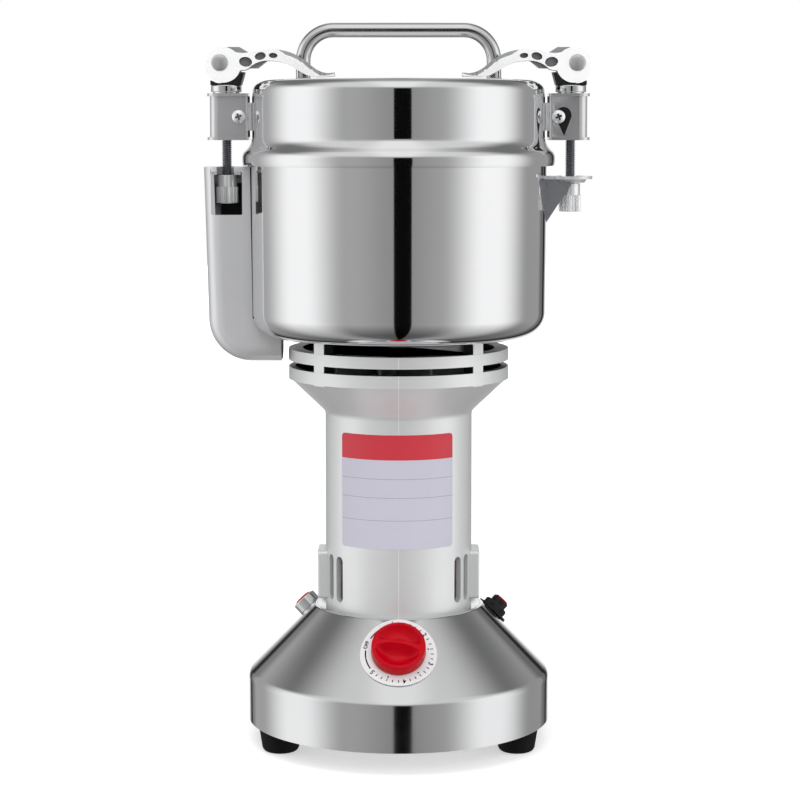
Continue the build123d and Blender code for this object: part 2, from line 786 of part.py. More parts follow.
with BuildPart() as lid_shell:
    with BuildSketch(Plane.XZ):
        with BuildLine() as lid_line:
            Polyline(
                (skirt_r - skirt_in, skirt_z),
                (skirt_r, skirt_z + 1.6),
                (skirt_r, flare_low_z),
                (lid_r, flare_top_z),
                (lid_r, lid_edge_z),
            )
            ThreePointArc((lid_r, lid_edge_z), (lid_r / 2, crown_z(lid_r / 2)), (0, lid_top_z))
            fillet(corner(lid_line, skirt_r, flare_low_z), radius=1.8)
            fillet(corner(lid_line, lid_r, flare_top_z), radius=1.8)
            fillet(corner(lid_line, lid_r, lid_edge_z), radius=lid_corner)
            offset(amount=sheet, side=Side.LEFT)
        make_face()
    revolve(axis=Axis.Z)
finish(lid_shell, "lid_shell")

handle_foot_z = crown_z(sqrt(handle_half**2 + handle_y**2)) + seat_gap
with BuildPart() as lid_handle:
    with BuildLine() as handle_path:
        FilletPolyline(
            (-handle_half, handle_y, handle_foot_z),
            (-handle_half, handle_y, handle_top_z - handle_r),
            (handle_half, handle_y, handle_top_z - handle_r),
            (handle_half, handle_y, handle_foot_z),
            radius=handle_bend,
        )
    with BuildSketch(Plane.XY.offset(handle_foot_z)):
        with Locations((-handle_half, handle_y)):
            Circle(handle_r)
    sweep()
finish(lid_handle, "lid_handle")

# Rubber ring in the step of the lid, that closes on the rim of the bowl.
flare_slope = (flare_top_z - flare_low_z) / (skirt_r - lid_r)
flare_inside_z = flare_top_z - sheet * sqrt(1 + flare_slope**2) - seat_gap * 2
gasket_in = lid_r - sheet + seat_gap
gasket_out = bowl_r + bowl_rim_w
with BuildPart() as lid_gasket:
    with BuildSketch(Plane.XZ):
        with BuildLine():
            Polyline(
                (gasket_in, bowl_rim_z + sheet + run_gap),
                (gasket_out, bowl_rim_z + sheet + run_gap),
                (gasket_out, flare_inside_z - (gasket_out - lid_r) * flare_slope),
                (gasket_in, flare_inside_z - 0.6),
                close=True,
            )
        make_face()
    revolve(axis=Axis.Z)
finish(lid_gasket, "lid_gasket")

# ================= clamps =================
# Profile of the cam lever, measured from its pin: first inboard, then up.
lever_top = [(4.6, 7.2), (10.6, 4.9), (20, 6.2), (27, 6.7), (35.7, 5.1), (41.5, 2.1), (47.5, -2.6), (57.7, -4.8)]
lever_under = [(57.7, -6.8), (50, -7.1), (45.1, -6.6), (40.4, -4.4), (35.7, -1.6), (31, 0.3), (26.2, 1.0),
               (21.5, 0.8), (16.7, -1.1), (12.9, -3.5), (9.6, -4.0), (6.4, -6.6)]
lever_holes = [(13.0, 0.45, 6.6, 4.9, -8), (20.4, 3.3, 5.6, 3.8, 14), (26.9, 3.6, 4.3, 2.6, -4)]
fork_w = eye_w + 2 * run_gap
pocket_w = 5.0  # web left between the oval pockets

for side, hand in ((-1, "left"), (1, "right")):
    clamp = clamp_plane(side)

    with BuildPart() as cam_lever:
        with BuildSketch(clamp):
            with Locations((cam_in, -cam_down)):
                Circle(cam_r)
            with BuildLine():
                top = Spline(*lever_top)
                tip = Line(top @ 1, lever_under[0])
                under = Spline(*lever_under)
                Line(under @ 1, top @ 0)
            make_face()
        extrude(amount=lever_w / 2, both=True)
        # Stiffening rib under the arm.
        with BuildSketch(clamp):
            with BuildLine():
                Polyline((12.6, -2.8), (19.0, -2.7), (25.0, 2.0), (16, 2.0), close=True)
            make_face()
        extrude(amount=pocket_w / 2, both=True)
        # Thumb pad with cross ridges behind the head.
        with BuildSketch(clamp):
            with BuildLine():
                Polyline((3.0, 7.3), (4.0, 7.9), (9.8, 7.9), (14.2, 5.2), (9, 4.0), close=True)
            make_face()
        extrude(amount=lever_w / 2 - 1.6, both=True)
        with BuildSketch(clamp):
            with Locations(*[(4.6 + 1.3 * step, 8.0) for step in range(4)]):
                Circle(0.35)
        extrude(amount=lever_w / 2 - 2.0, both=True, mode=Mode.SUBTRACT)
        # Fork for the eye of the rod, the bore of the pin and the oval pockets.
        with BuildSketch(clamp):
            with Locations((-10 + eye_r / 2, 0)):
                Rectangle(20 + eye_r + 1.2, 40)
        extrude(amount=fork_w / 2, both=True, mode=Mode.SUBTRACT)
        with BuildSketch(clamp):
            Circle(pin_r + journal_gap)
        extrude(amount=lever_w, both=True, mode=Mode.SUBTRACT)
        for face in (-1, 1):
            with BuildSketch(clamp.offset(face * lever_w / 2)):
                for u, w, length, height, tilt in lever_holes:
                    with Locations(Location((u, w), tilt)):
                        Ellipse(length / 2, height / 2)
            extrude(amount=-face * (lever_w - pocket_w) / 2, mode=Mode.SUBTRACT)
    finish(cam_lever, f"cam_lever_{hand}")

    with BuildPart() as lever_pin:
        with BuildSketch(clamp):
            Circle(pin_r)
        extrude(amount=lever_w / 2 + 0.5, both=True)
        fillet(lever_pin.faces().filter_by(GeomType.PLANE).edges(), 0.8)
    finish(lever_pin, f"lever_pin_{hand}")

    # Rod with an offset eye, and the knurled nut on its lower end.
    nut_top = left_nut_top if side < 0 else right_nut_top
    nut_z = nut_top - nut_h
    with BuildPart() as clamp_rod:
        with BuildSketch(Plane.XY.offset(nut_z + rod_up)):
            with Locations((side * rod_x, 0)):
                Circle(rod_r)
        extrude(amount=pin_z - nut_z - rod_up)
        with BuildSketch(clamp):
            Circle(eye_r)
        extrude(amount=eye_w / 2, both=True)
        with BuildSketch(clamp):
            Circle(pin_r + journal_gap)
        extrude(amount=eye_w, both=True, mode=Mode.SUBTRACT)
    finish(clamp_rod, f"clamp_rod_{hand}")

    with BuildPart() as clamp_nut:
        with BuildSketch(Plane.XY.offset(nut_z)):
            with Locations((side * rod_x, 0)):
                Circle(nut_r)
        extrude(amount=nut_h - nut_neck_h)
        chamfer(clamp_nut.edges().filter_by(GeomType.CIRCLE), 0.5)
        with BuildSketch(Plane.XY.offset(nut_top - nut_neck_h)):
            with Locations((side * rod_x, 0)):
                Circle(nut_neck_r)
        extrude(amount=nut_neck_h)
        with BuildSketch(Plane.XY.offset(nut_z + rod_up - journal_gap)):
            with Locations((side * rod_x, 0)):
                Circle(rod_r + journal_gap)
        extrude(amount=nut_h, mode=Mode.SUBTRACT)
    finish(clamp_nut, f"clamp_nut_{hand}")

    # Block of folded sheet, open towards the lid, with a plate above and below.
    block_mid = side * (block_in + block_out) / 2
    block_w = block_out - block_in
    with BuildPart() as clamp_block:
        with BuildSketch(Plane.XY.offset(block_z)) as block_plan:
            with Locations((block_mid, 0)):
                Rectangle(block_w, block_d)
            outer = block_plan.vertices().group_by(Axis.X)[-1 if side > 0 else 0]
            fillet(outer, 4.5)
            inner = block_plan.vertices().group_by(Axis.X)[0 if side > 0 else -1]
            fillet(inner, 1.9)
            offset(amount=-block_wall, mode=Mode.SUBTRACT)
        extrude(amount=block_top_z - block_z)
        with BuildSketch(Plane.XY.offset(block_z)):
            with Locations((side * block_in, 0)):
                Rectangle(3 * block_wall, block_d - 2 * block_wall)
        extrude(amount=block_top_z - block_z, mode=Mode.SUBTRACT)
        for low, grow in ((block_z - plate_t, 1), (block_top_z, 1)):
            with BuildSketch(Plane.XY.offset(low)) as plate_plan:
                with Locations((block_mid + side * plate_out / 2, 0)):
                    Rectangle(block_w + plate_out, block_d + 2 * plate_out)
                fillet(plate_plan.vertices().group_by(Axis.X)[-1 if side > 0 else 0], 4.5 + plate_out)
                fillet(plate_plan.vertices().group_by(Axis.X)[0 if side > 0 else -1], 1.5)
                with Locations((side * rod_x, 0)):
                    Circle(rod_r + run_gap, mode=Mode.SUBTRACT)
            extrude(amount=plate_t)
        with BuildSketch(Plane.XZ.offset(-block_d)):
            with Locations((side * block_screw_x, block_mid_z)):
                Circle(foot_screw_r + hole_gap)
        extrude(amount=2 * block_d, mode=Mode.SUBTRACT)
    finish(clamp_block, f"clamp_block_{hand}")


def bowl_envelope():
    """Solid a little larger than the bowl, cut from what is fitted to its outside."""
    with BuildPart() as envelope:
        with BuildSketch(Plane.XZ) as outside_face:
            with BuildLine():
                Polyline(
                    (0, bowl_z - seat_gap),
                    (bowl_low_r + seat_gap, bowl_z - seat_gap),
                    (bowl_r + seat_gap, bowl_rim_z),
                    (0, bowl_rim_z),
                    close=True,
                )
            make_face()
            fillet(outside_face.vertices().sort_by_distance((bowl_low_r, bowl_z, 0))[0], bowl_corner)
        revolve(axis=Axis.Z)
    return envelope.part


# Angle between the block and the lid: a plate on the lid and two ears inside the block.
with BuildPart() as block_brackets:
    tube(lid_r + bracket_t + seat_gap, lid_r + seat_gap, block_mid_z - bracket_h / 2, block_mid_z + bracket_h / 2)
    ear_y = block_d / 2 - block_wall - seat_gap
    with BuildSketch(Plane.XY.offset(block_mid_z - bracket_h / 2)):
        Rectangle(2 * (lid_r + bracket_t + 1), 2 * ear_y)
    extrude(amount=bracket_h, mode=Mode.INTERSECT)
    for side in (-1, 1):
        with BuildSketch(Plane.XY.offset(block_mid_z - bracket_h / 2)):
            for face in (-1, 1):
                with Locations((side * (lid_r + bracket_t / 2 + ear_out) / 2, face * (ear_y - ear_t / 2))):
                    Rectangle(ear_out - lid_r - bracket_t / 2, ear_t)
        extrude(amount=bracket_h)
    with BuildSketch(Plane.XZ.offset(-block_d)):
        with Locations((-block_screw_x, block_mid_z), (block_screw_x, block_mid_z)):
            Circle(foot_screw_r + hole_gap)
    extrude(amount=2 * block_d, mode=Mode.SUBTRACT)
finish(block_brackets, "block_brackets")

# Cross-head screws through the block into the ears, in front and behind.
with BuildPart() as block_screws:
    for side in (-1, 1):
        for face in (-1, 1):
            head_plane = Plane(origin=(side * block_screw_x, face * block_d / 2, block_mid_z),
                               x_dir=(-face, 0, 0), z_dir=(0, face, 0))
            with BuildSketch(head_plane):
                Circle(block_head_r)
            extrude(amount=block_head_h)
            with BuildSketch(head_plane):
                Circle(foot_screw_r)
            extrude(amount=-block_wall - seat_gap - ear_t - 0.6)
            with BuildSketch(head_plane.offset(block_head_h)):
                Rectangle(cross_w, cross_t)
                Rectangle(cross_t, cross_w)
            extrude(amount=-cross_depth, mode=Mode.SUBTRACT)
finish(block_screws, "block_screws")

with BuildPart() as clamp_collars:
    for side in (-1, 1):
        for r, low, top in ((collar_r - 1, collar_z, collar_z + 0.6), (collar_r, collar_z + 0.6, saddle_z)):
            with BuildSketch(Plane.XY.offset(low)):
                with Locations((side * rod_x, 0)):
                    Circle(r)
                    Circle(rod_r + run_gap, mode=Mode.SUBTRACT)
            extrude(amount=top - low)
finish(clamp_collars, "clamp_collars")

# Plastic saddles that the cams turn on, with a horn on the inboard side.
saddle_low = saddle_z - pin_z
with BuildPart() as cam_saddles:
    for side in (-1, 1):
        clamp = clamp_plane(side)
        with BuildSketch(clamp):
            with BuildLine():
                Polyline(
                    (pin_x - rod_x - collar_r + 0.2, saddle_low),
                    (pin_x - rod_x + collar_r - 0.2, saddle_low),
                    (pin_x - rod_x + collar_r + 1.6, saddle_low + 6.4),
                    (pin_x - rod_x + collar_r - 1.4, saddle_low + 6.4),
                    (pin_x - rod_x, saddle_low + 2.4),
                    (pin_x - rod_x - collar_r + 0.2, saddle_low + 2.4),
                    close=True,
                )
            make_face()
        extrude(amount=lever_w / 2 - 0.4, both=True)
        with BuildSketch(clamp):
            with Locations((cam_drift / 2, -cam_down + 0.1)):
                SlotCenterToCenter(cam_drift, 2 * (cam_r + run_gap))
        extrude(amount=lever_w, both=True, mode=Mode.SUBTRACT)
        with BuildSketch(Plane.XY.offset(saddle_z)):
            with Locations((side * rod_x, 0)):
                Circle(rod_r + run_gap)
        extrude(amount=8, mode=Mode.SUBTRACT)
finish(cam_saddles, "cam_saddles")

# ================= interlock on the left =================


def duct_block(inset, floor, top, end):
    """Outer form of the duct, drawn in by a wall."""
    with BuildPart() as block:
        with BuildSketch(Plane.XZ) as side_view:
            with BuildLine() as outline:
                Polyline(
                    (-duct_out + inset, top),
                    (-duct_low_out + inset, duct_bend_z),
                    (-duct_low_out + inset, floor),
                    (-end, floor),
                    (-end, bowl_z + bowl_corner),
                    (-bowl_low_r + 6, bowl_z + bowl_corner),
                    (-bowl_low_r + 6, top),
                    close=True,
                )
            make_face()
            fillet(side_view.vertices().sort_by_distance((-duct_low_out + inset, floor, 0))[0], duct_bend - inset)
        extrude(amount=duct_half - inset, both=True)
        fillet(block.faces().sort_by(Axis.X)[0].edges().filter_by(Axis.Y, reverse=True), duct_corner - inset)
    return block.part


envelope = bowl_envelope()
with BuildPart() as interlock_duct:
    add(duct_block(0, duct_floor_z, duct_top_z, duct_end))
    add(duct_block(sheet, duct_floor_z + sheet, duct_top_z - 1.2, duct_end - 4), mode=Mode.SUBTRACT)
    with BuildSketch(Plane.XY.offset(left_nut_top + run_gap)):
        with Locations((-rod_x, 0)):
            Circle(dish_r)
        with Locations((-rod_x, -duct_half / 2 + sheet / 2)):
            Rectangle(2 * dish_r, duct_half - sheet)
    extrude(amount=duct_top_z - 1.2 - left_nut_top - run_gap)
    with BuildSketch(Plane.XY.offset(left_nut_top)):
        with Locations((-rod_x, 0)):
            Circle(rod_slot_r)
        with Locations((-rod_x, -(duct_half + 1) / 2)):
            Rectangle(2 * rod_slot_r, duct_half + 1)
    extrude(amount=10, mode=Mode.SUBTRACT)
    with BuildSketch(Plane.XZ.offset(duct_half - sheet - 0.5)):
        with Locations((-(window_x + window_in_x) / 2, (window_z + window_top_z) / 2)):
            RectangleRounded(window_x - window_in_x, window_top_z - window_z, 0.8)
    extrude(amount=3, mode=Mode.SUBTRACT)
    add(envelope, mode=Mode.SUBTRACT)
finish(interlock_duct, "interlock_duct")

# Micro switch behind the nut, and the plunger that the nut holds in.
switch_y = nut_r + 2.6
plunger_z = left_nut_top - nut_h + 4.0
with BuildPart() as micro_switch:
    with BuildSketch(Plane.XZ.offset(-switch_y)):
        with Locations((-rod_x + 1.6, plunger_z - 4)):
            Rectangle(11.0, 19.8)
    extrude(amount=-(duct_half - sheet - seat_gap - switch_y))
    with BuildSketch(Plane.XZ.offset(-switch_y)):
        with Locations((-rod_x, plunger_z)):
            Circle(plunger_r + journal_gap)
    extrude(amount=-2.8, mode=Mode.SUBTRACT)
finish(micro_switch, "micro_switch")

with BuildPart() as switch_plunger:
    with BuildSketch(Plane.XZ.offset(-nut_r - run_gap)):
        with Locations((-rod_x, plunger_z)):
            Circle(plunger_r)
    extrude(amount=-plunger_length)
    fillet(switch_plunger.faces().sort_by(Axis.Y)[0].edges(), 0.7)
finish(switch_plunger, "switch_plunger")

# ================= hook lug on the right =================
with BuildPart() as hook_lug:
    with BuildSketch(Plane(origin=(rod_x, 0, 0), x_dir=(1, 0, 0), z_dir=(0, -1, 0))):
        with BuildLine():
            Polyline((0, lug_z), (lug_dish_r - 1.2, lug_z), (lug_dish_r, lug_z + lug_rise), (lug_r, lug_z + lug_rise))
            offset(amount=lug_t, side=Side.LEFT)
        make_face()
    revolve(axis=Axis((rod_x, 0, 0), (0, 0, 1)))
    with BuildSketch(Plane.XY.offset(lug_z + lug_rise)):
        with Locations(((rod_x - lug_dish_r + bowl_low_r) / 2, 0)):
            Rectangle(rod_x - lug_dish_r - bowl_low_r, 2 * lug_dish_r)
    extrude(amount=lug_t)
    with BuildSketch(Plane.XZ.offset(gusset_y - lug_t / 2)):
        with BuildLine():
            Polyline(
                (bowl_low_r - 1, lug_z + lug_rise + 0.5),
                (rod_x - lug_dish_r, lug_z + lug_rise + 0.5),
                (rod_x - lug_dish_r + 2, lug_z + 0.5),
                (rod_x, lug_z + 0.5),
                (rod_x, lug_z - 0.8),
                (bowl_low_r - 1, gusset_z - 2),
                close=True,
            )
        make_face()
    extrude(amount=lug_t)
    with BuildSketch(Plane.XY.offset(lug_z - 1)):
        with Locations((rod_x, 0)):
            Circle(lug_slot_r)
        with Locations((rod_x, lug_r / 2 + 1)):
            Rectangle(2 * lug_slot_r, lug_r + 2)
    extrude(amount=8, mode=Mode.SUBTRACT)
    add(envelope, mode=Mode.SUBTRACT)
finish(hook_lug, "hook_lug")

# ================= controls =================


def cone_point(height, lift):
    """Radius and height of a point on the cone, lifted square to it."""
    foot = on_cone(height, 0)
    return (foot.origin.X + lift * foot.z_dir.X, height + lift * foot.z_dir.Z)


with BuildPart() as dial_plate:
    with BuildSketch(Plane.XZ):
        with BuildLine():
            Polyline(
                cone_point(skirt_top_z + 2, journal_gap),
                cone_point(cone_top_z - 0.6, journal_gap),
                cone_point(cone_top_z - 0.6, journal_gap + dial_t),
                cone_point(skirt_top_z + 2, journal_gap + dial_t),
                close=True,
            )
        make_face()
    revolve(axis=Axis.Z)
    with BuildSketch(dial.offset(-6)):
        Circle(dial_r)
        Circle(spindle_r + 1.5, mode=Mode.SUBTRACT)
    extrude(amount=12, mode=Mode.INTERSECT)
finish(dial_plate, "dial_plate")

knob_plane = Plane(dial.location * Location((0, 0, 0), (0, 0, knob_turn)))
knob_low = journal_gap + dial_t + run_gap
with BuildPart() as timer_knob:
    with BuildSketch(Plane(origin=knob_plane.origin, x_dir=knob_plane.x_dir, z_dir=-knob_plane.y_dir)) as knob_half:
        with BuildLine():
            side_top = Line((knob_r - 1.2, knob_low + 2.4), (knob_r - 2.0, knob_h - 1.6))
            crown = ThreePointArc(side_top @ 1, (knob_r - 2.7, knob_h - 0.7), (knob_r - 4.0, knob_h - 0.3))
            dome = ThreePointArc(crown @ 1, (knob_r / 3, knob_h - 0.05), (0, knob_h))
            Polyline(dome @ 1, (0, knob_low), (knob_r, knob_low), (knob_r, knob_low + 2.0), side_top @ 0)
        make_face()
    revolve(axis=Axis(knob_plane.origin, knob_plane.z_dir))
    with Locations(*[knob_plane * Location((0, hand * (scoop_r + 2.6), scoop_r + 2.4)) for hand in (-1, 1)]):
        Sphere(scoop_r, mode=Mode.SUBTRACT)
    with BuildSketch(knob_plane):
        Circle(spindle_r + journal_gap)
    extrude(amount=knob_h - 3.5, mode=Mode.SUBTRACT)
finish(timer_knob, "timer_knob")

with BuildPart() as timer_spindle:
    with BuildSketch(dial.offset(-spindle_back)):
        Circle(spindle_r)
    extrude(amount=spindle_back + knob_h - 4)
finish(timer_spindle, "timer_spindle")

with BuildPart() as timer_body:
    with BuildSketch(dial.offset(timer_face)):
        Circle(timer_r)
    extrude(amount=-timer_h)
    with BuildSketch(dial.offset(timer_face)):
        Circle(spindle_r + timer_collar)
    extrude(amount=0.5 - timer_face)
    with BuildSketch(dial.offset(-spindle_back - run_gap)):
        Circle(spindle_r + run_gap)
    extrude(amount=spindle_back + 5, mode=Mode.SUBTRACT)
finish(timer_body, "timer_body")

# Push button: chrome bezel with its stem and contact block, and the lens that is pressed.
with BuildPart() as button_bezel:
    with BuildSketch(button_plane.offset(journal_gap)):
        Circle(bezel_r)
    extrude(amount=bezel_h)
    fillet(button_bezel.edges().filter_by(GeomType.CIRCLE).sort_by(Axis.Z)[-1], 0.6)
    with BuildSketch(button_plane.offset(journal_gap)):
        Circle(bezel_r - 1.0 - seat_gap)
    extrude(amount=-2 * button_back)
    with BuildSketch(button_plane.offset(bore_floor)):
        Circle(button_r + run_gap)
    extrude(amount=bezel_h + 2, mode=Mode.SUBTRACT)
    with BuildSketch(button_plane.offset(-button_back)):
        Circle(button_stem_r + run_gap)
    extrude(amount=button_back + 4, mode=Mode.SUBTRACT)
finish(button_bezel, "button_bezel")

with BuildPart() as power_button:
    with BuildSketch(button_plane.offset(bore_floor + button_travel + run_gap)):
        Circle(button_r)
    extrude(amount=bezel_h + 1.0 - bore_floor - button_travel - run_gap)
    fillet(power_button.edges().filter_by(GeomType.CIRCLE).sort_by(Axis.Z)[-1], 1.2)
    with BuildSketch(button_plane.offset(-button_back + button_travel + run_gap)):
        Circle(button_stem_r)
    extrude(amount=button_back + 3)
finish(power_button, "power_button")

# Circuit breaker: body and stem, the ring and nut in front, and the reset button.
with BuildPart() as breaker_body:
    with BuildSketch(breaker_plane.offset(-breaker_back)):
        Circle(breaker_stem_r)
    extrude(amount=breaker_back + breaker_top)
    with BuildSketch(breaker_plane.offset(-breaker_back)):
        RectangleRounded(breaker_case_w, breaker_case_h, 1.5)
    extrude(amount=-breaker_case_d)
    with BuildSketch(breaker_plane.offset(breaker_top - 3.0)):
        Circle(breaker_cap_r + run_gap)
    extrude(amount=4, mode=Mode.SUBTRACT)
finish(breaker_body, "breaker_body")

with BuildPart() as breaker_nut:
    with BuildSketch(breaker_plane.offset(journal_gap)):
        Circle(breaker_flange_r)
    extrude(amount=breaker_flange_h)
    with BuildSketch(breaker_plane.offset(journal_gap + breaker_flange_h)):
        Circle(breaker_nut_r)
    extrude(amount=breaker_nut_h)
    fillet(breaker_nut.edges().filter_by(GeomType.CIRCLE).sort_by(Axis.Z)[-1], 0.8)
    with BuildSketch(breaker_plane):
        Circle(breaker_stem_r + journal_gap)
    extrude(amount=6, mode=Mode.SUBTRACT)
finish(breaker_nut, "breaker_nut")

with BuildPart() as breaker_button:
    with BuildSketch(breaker_plane.offset(breaker_top - 3.0 + 0.1)):
        Circle(breaker_cap_r)
    extrude(amount=3.7)
    fillet(breaker_button.edges().filter_by(GeomType.CIRCLE).sort_by(Axis.Z)[-1], 0.4)
finish(breaker_button, "breaker_button")

# Ring nuts inside the cone that hold the button and the breaker.
with BuildPart() as panel_nuts:
    for plane, bore in ((button_plane, bezel_r - 1.0 - seat_gap), (breaker_plane, breaker_stem_r)):
        with BuildSketch(plane.offset(-sheet - panel_washer_t)):
            RegularPolygon(bore + panel_nut_w, 6, major_radius=False)
            Circle(bore + journal_gap, mode=Mode.SUBTRACT)
        extrude(amount=-panel_nut_t)
finish(panel_nuts, "panel_nuts")

# Appliance inlet with a hollow for the plug and three flat pins.
pin_places = ((-7, -2.2), (7, -2.2), (0, 2.6))
with BuildPart() as power_inlet:
    with BuildSketch(inlet_face):
        RectangleRounded(inlet_w + 3.6, inlet_h + 2.4, 2)
    extrude(amount=-6)
    with BuildSketch(Plane.XY):
        Circle(base_r + seat_gap)
    extrude(amount=2 * skirt_top_z, mode=Mode.SUBTRACT)
    with BuildSketch(inlet_face):
        RectangleRounded(inlet_w, inlet_h, 1.5)
    extrude(amount=-inlet_depth)
    with BuildSketch(inlet_face) as mouth:
        Rectangle(socket_w, socket_h)
        chamfer(mouth.vertices().group_by(Axis.Y)[-1], 4.5)
    extrude(amount=-socket_depth, mode=Mode.SUBTRACT)
    with BuildSketch(inlet_face):
        with Locations(*pin_places):
            Rectangle(inlet_pin_t + 2 * journal_gap, inlet_pin_w + 2 * journal_gap)
    extrude(amount=-inlet_depth - 1, mode=Mode.SUBTRACT)
finish(power_inlet, "power_inlet")

with BuildPart() as inlet_pins:
    with BuildSketch(inlet_face.offset(-inlet_depth - 3)):
        with Locations(*pin_places):
            Rectangle(inlet_pin_t, inlet_pin_w)
    extrude(amount=inlet_depth + 3 - 6)
finish(inlet_pins, "inlet_pins")
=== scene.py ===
"""Dresses an upright electric grain mill: steel bowl and lid, cast housing, cam clamps and timer base."""

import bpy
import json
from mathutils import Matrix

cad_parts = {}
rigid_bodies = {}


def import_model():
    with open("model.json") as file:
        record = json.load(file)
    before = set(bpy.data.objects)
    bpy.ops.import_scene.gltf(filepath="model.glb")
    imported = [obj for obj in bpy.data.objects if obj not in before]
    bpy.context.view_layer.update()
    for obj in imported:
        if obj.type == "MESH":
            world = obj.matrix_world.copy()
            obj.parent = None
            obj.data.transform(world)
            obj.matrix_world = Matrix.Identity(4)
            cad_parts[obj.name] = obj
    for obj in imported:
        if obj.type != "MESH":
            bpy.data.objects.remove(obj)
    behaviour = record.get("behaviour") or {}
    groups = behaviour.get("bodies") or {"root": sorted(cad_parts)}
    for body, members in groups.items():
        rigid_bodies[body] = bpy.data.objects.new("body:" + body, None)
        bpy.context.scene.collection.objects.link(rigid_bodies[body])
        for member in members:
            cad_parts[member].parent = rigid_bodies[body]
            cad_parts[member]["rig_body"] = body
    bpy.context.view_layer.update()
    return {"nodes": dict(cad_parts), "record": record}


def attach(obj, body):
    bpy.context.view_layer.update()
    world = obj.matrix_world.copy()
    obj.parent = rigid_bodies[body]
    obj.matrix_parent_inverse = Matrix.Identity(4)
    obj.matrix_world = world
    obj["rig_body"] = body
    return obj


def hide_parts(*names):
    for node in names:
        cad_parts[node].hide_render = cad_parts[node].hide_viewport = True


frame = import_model()

import json
import logging
import math
from dataclasses import dataclass
from enum import Enum
from itertools import pairwise
from typing import Callable, Iterator

import bmesh
import bpy
from mathutils import Matrix, Vector

log = logging.getLogger("grain_mill")
logging.basicConfig(level=logging.INFO, format="%(message)s")

MM = 0.001
TURN = 2 * math.pi
MERGE = 0.004 * MM  # points nearer than this are one
FLAT = math.radians(0.3)  # faces that meet at less than this are one
SHARP = 35.0  # degrees from which an edge counts as sharp
SMOOTH = 30.0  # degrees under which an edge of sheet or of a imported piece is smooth
HAIR = 0.001 * MM  # less than any real step between two points
NOISE_RANGE = {"From Min": 0.3, "From Max": 0.7}  # holds nearly all values of a noise texture
CLOUD = {"Detail": 4.0, "Roughness": 0.6}
PITS = {"Detail": 3.0, "Roughness": 0.65}
DRAWN_OUT = (1.0, 1.0, 0.02)  # stretches a texture along Z
LOWEST_ROUGHNESS = 0.01
UP = Vector((0, 0, 1))
QUARTER_X = Matrix.Rotation(TURN / 4, 4, "X")
Point = tuple[float, float, float]
Profile = list[tuple[float, float, float]]  # radius, height and corner radius
Piece = bpy.types.Object
Tree = bpy.types.NodeTree
Socket = bpy.types.NodeSocket


# ---------------------------------------------------------------- colours and nodes


def linear(colour: str) -> tuple[float, float, float, float]:
    """Turns an sRGB hex colour into linear light.

    Args:
        colour: six hex digits after a hash.

    Returns:
        Red, green, blue and an alpha of one.
    """
    channels = [int(colour[i:i + 2], 16) / 255 for i in (1, 3, 5)]
    return (*[c / 12.92 if c <= 0.04045 else ((c + 0.055) / 1.055) ** 2.4 for c in channels], 1.0)


def add_node(tree: Tree, kind: str, inputs: dict | None = None, **settings: object) -> bpy.types.Node:
    """Adds one node with its settings, values and links.

    Args:
        tree: the node tree it goes into.
        kind: Blender's name of the node, after ShaderNode.
        inputs: input name or number, to a value or to the output socket that feeds it.
        settings: the node's own properties.

    Returns:
        The new node.
    """
    made = tree.nodes.new("ShaderNode" + kind)
    for name, value in settings.items():
        setattr(made, name, value)
    for name, value in (inputs or {}).items():
        if isinstance(value, Socket):
            tree.links.new(value, made.inputs[name])
        else:
            made.inputs[name].default_value = value
    return made


def close_to(tree: Tree, value: Socket, centre: float, inner: float, outer: float, full: float = 1.0,
             **settings: object) -> Socket:
    """Masks the values on both sides of one value.

    Args:
        tree: the node tree it goes into.
        value: the value.
        centre: the middle of the mask.
        inner: distance from the middle up to which the mask is full.
        outer: distance at which it has faded out.
        full: the full mask.
        settings: how it fades.

    Returns:
        The mask.
    """
    off = add_node(tree, "Math", {0: value, 1: centre}, operation="SUBTRACT").outputs[0]
    away = add_node(tree, "Math", {0: off}, operation="ABSOLUTE").outputs[0]
    return add_node(tree, "MapRange", {"Value": away, "From Min": inner, "From Max": outer, "To Min": full,
                                       "To Max": 0.0}, **settings).outputs[0]


def polar(tree: Tree, place: Socket) -> tuple[Socket, Socket]:
    """Splits a place into its distance from the main axis and its height.

    Args:
        tree: the node tree it goes into.
        place: the object coordinates.

    Returns:
        The distance and the height.
    """
    parts = add_node(tree, "SeparateXYZ", {0: place}).outputs
    flat = add_node(tree, "CombineXYZ", {0: parts[0], 1: parts[1]}).outputs[0]
    return add_node(tree, "VectorMath", {0: flat}, operation="LENGTH").outputs["Value"], parts[2]


class Grain(Enum):
    """How the tool marks of a surface run."""

    TURNED = "turned"  # rings round the main axis, from spinning and polishing on a lathe
    UPRIGHT = "upright"  # lines along Z, from drawing or linishing
    CAST = "cast"  # even pits, from shot or moulding


@dataclass(frozen=True)
class Hollow:
    """Painted shade inside a casting or beside a fold: a dark colour laid where shade falls."""

    r_mm: float  # distance from the main axis within which it is dark, at its lower edge
    low_mm: float  # height of its lower edge
    draw: float = 0.0  # how much wider it grows with each millimetre of height
    colour: str = "#141415"

    def mask(self, tree: Tree, place: Socket) -> Socket:
        """Finds where the painted shade lies.

        Args:
            tree: the material's node tree.
            place: the object coordinates.

        Returns:
            One inside and nought outside.
        """
        radius, height = polar(tree, place)
        drawn = add_node(tree, "Math", {0: height, 1: -self.draw, 2: radius},
                         operation="MULTIPLY_ADD").outputs[0]
        inside = add_node(tree, "Math", {0: drawn, 1: (self.r_mm - self.draw * self.low_mm) * MM},
                          operation="LESS_THAN").outputs[0]
        above = add_node(tree, "Math", {0: height, 1: self.low_mm * MM}, operation="GREATER_THAN").outputs[0]
        return add_node(tree, "Math", {0: inside, 1: above}, operation="MULTIPLY").outputs[0]


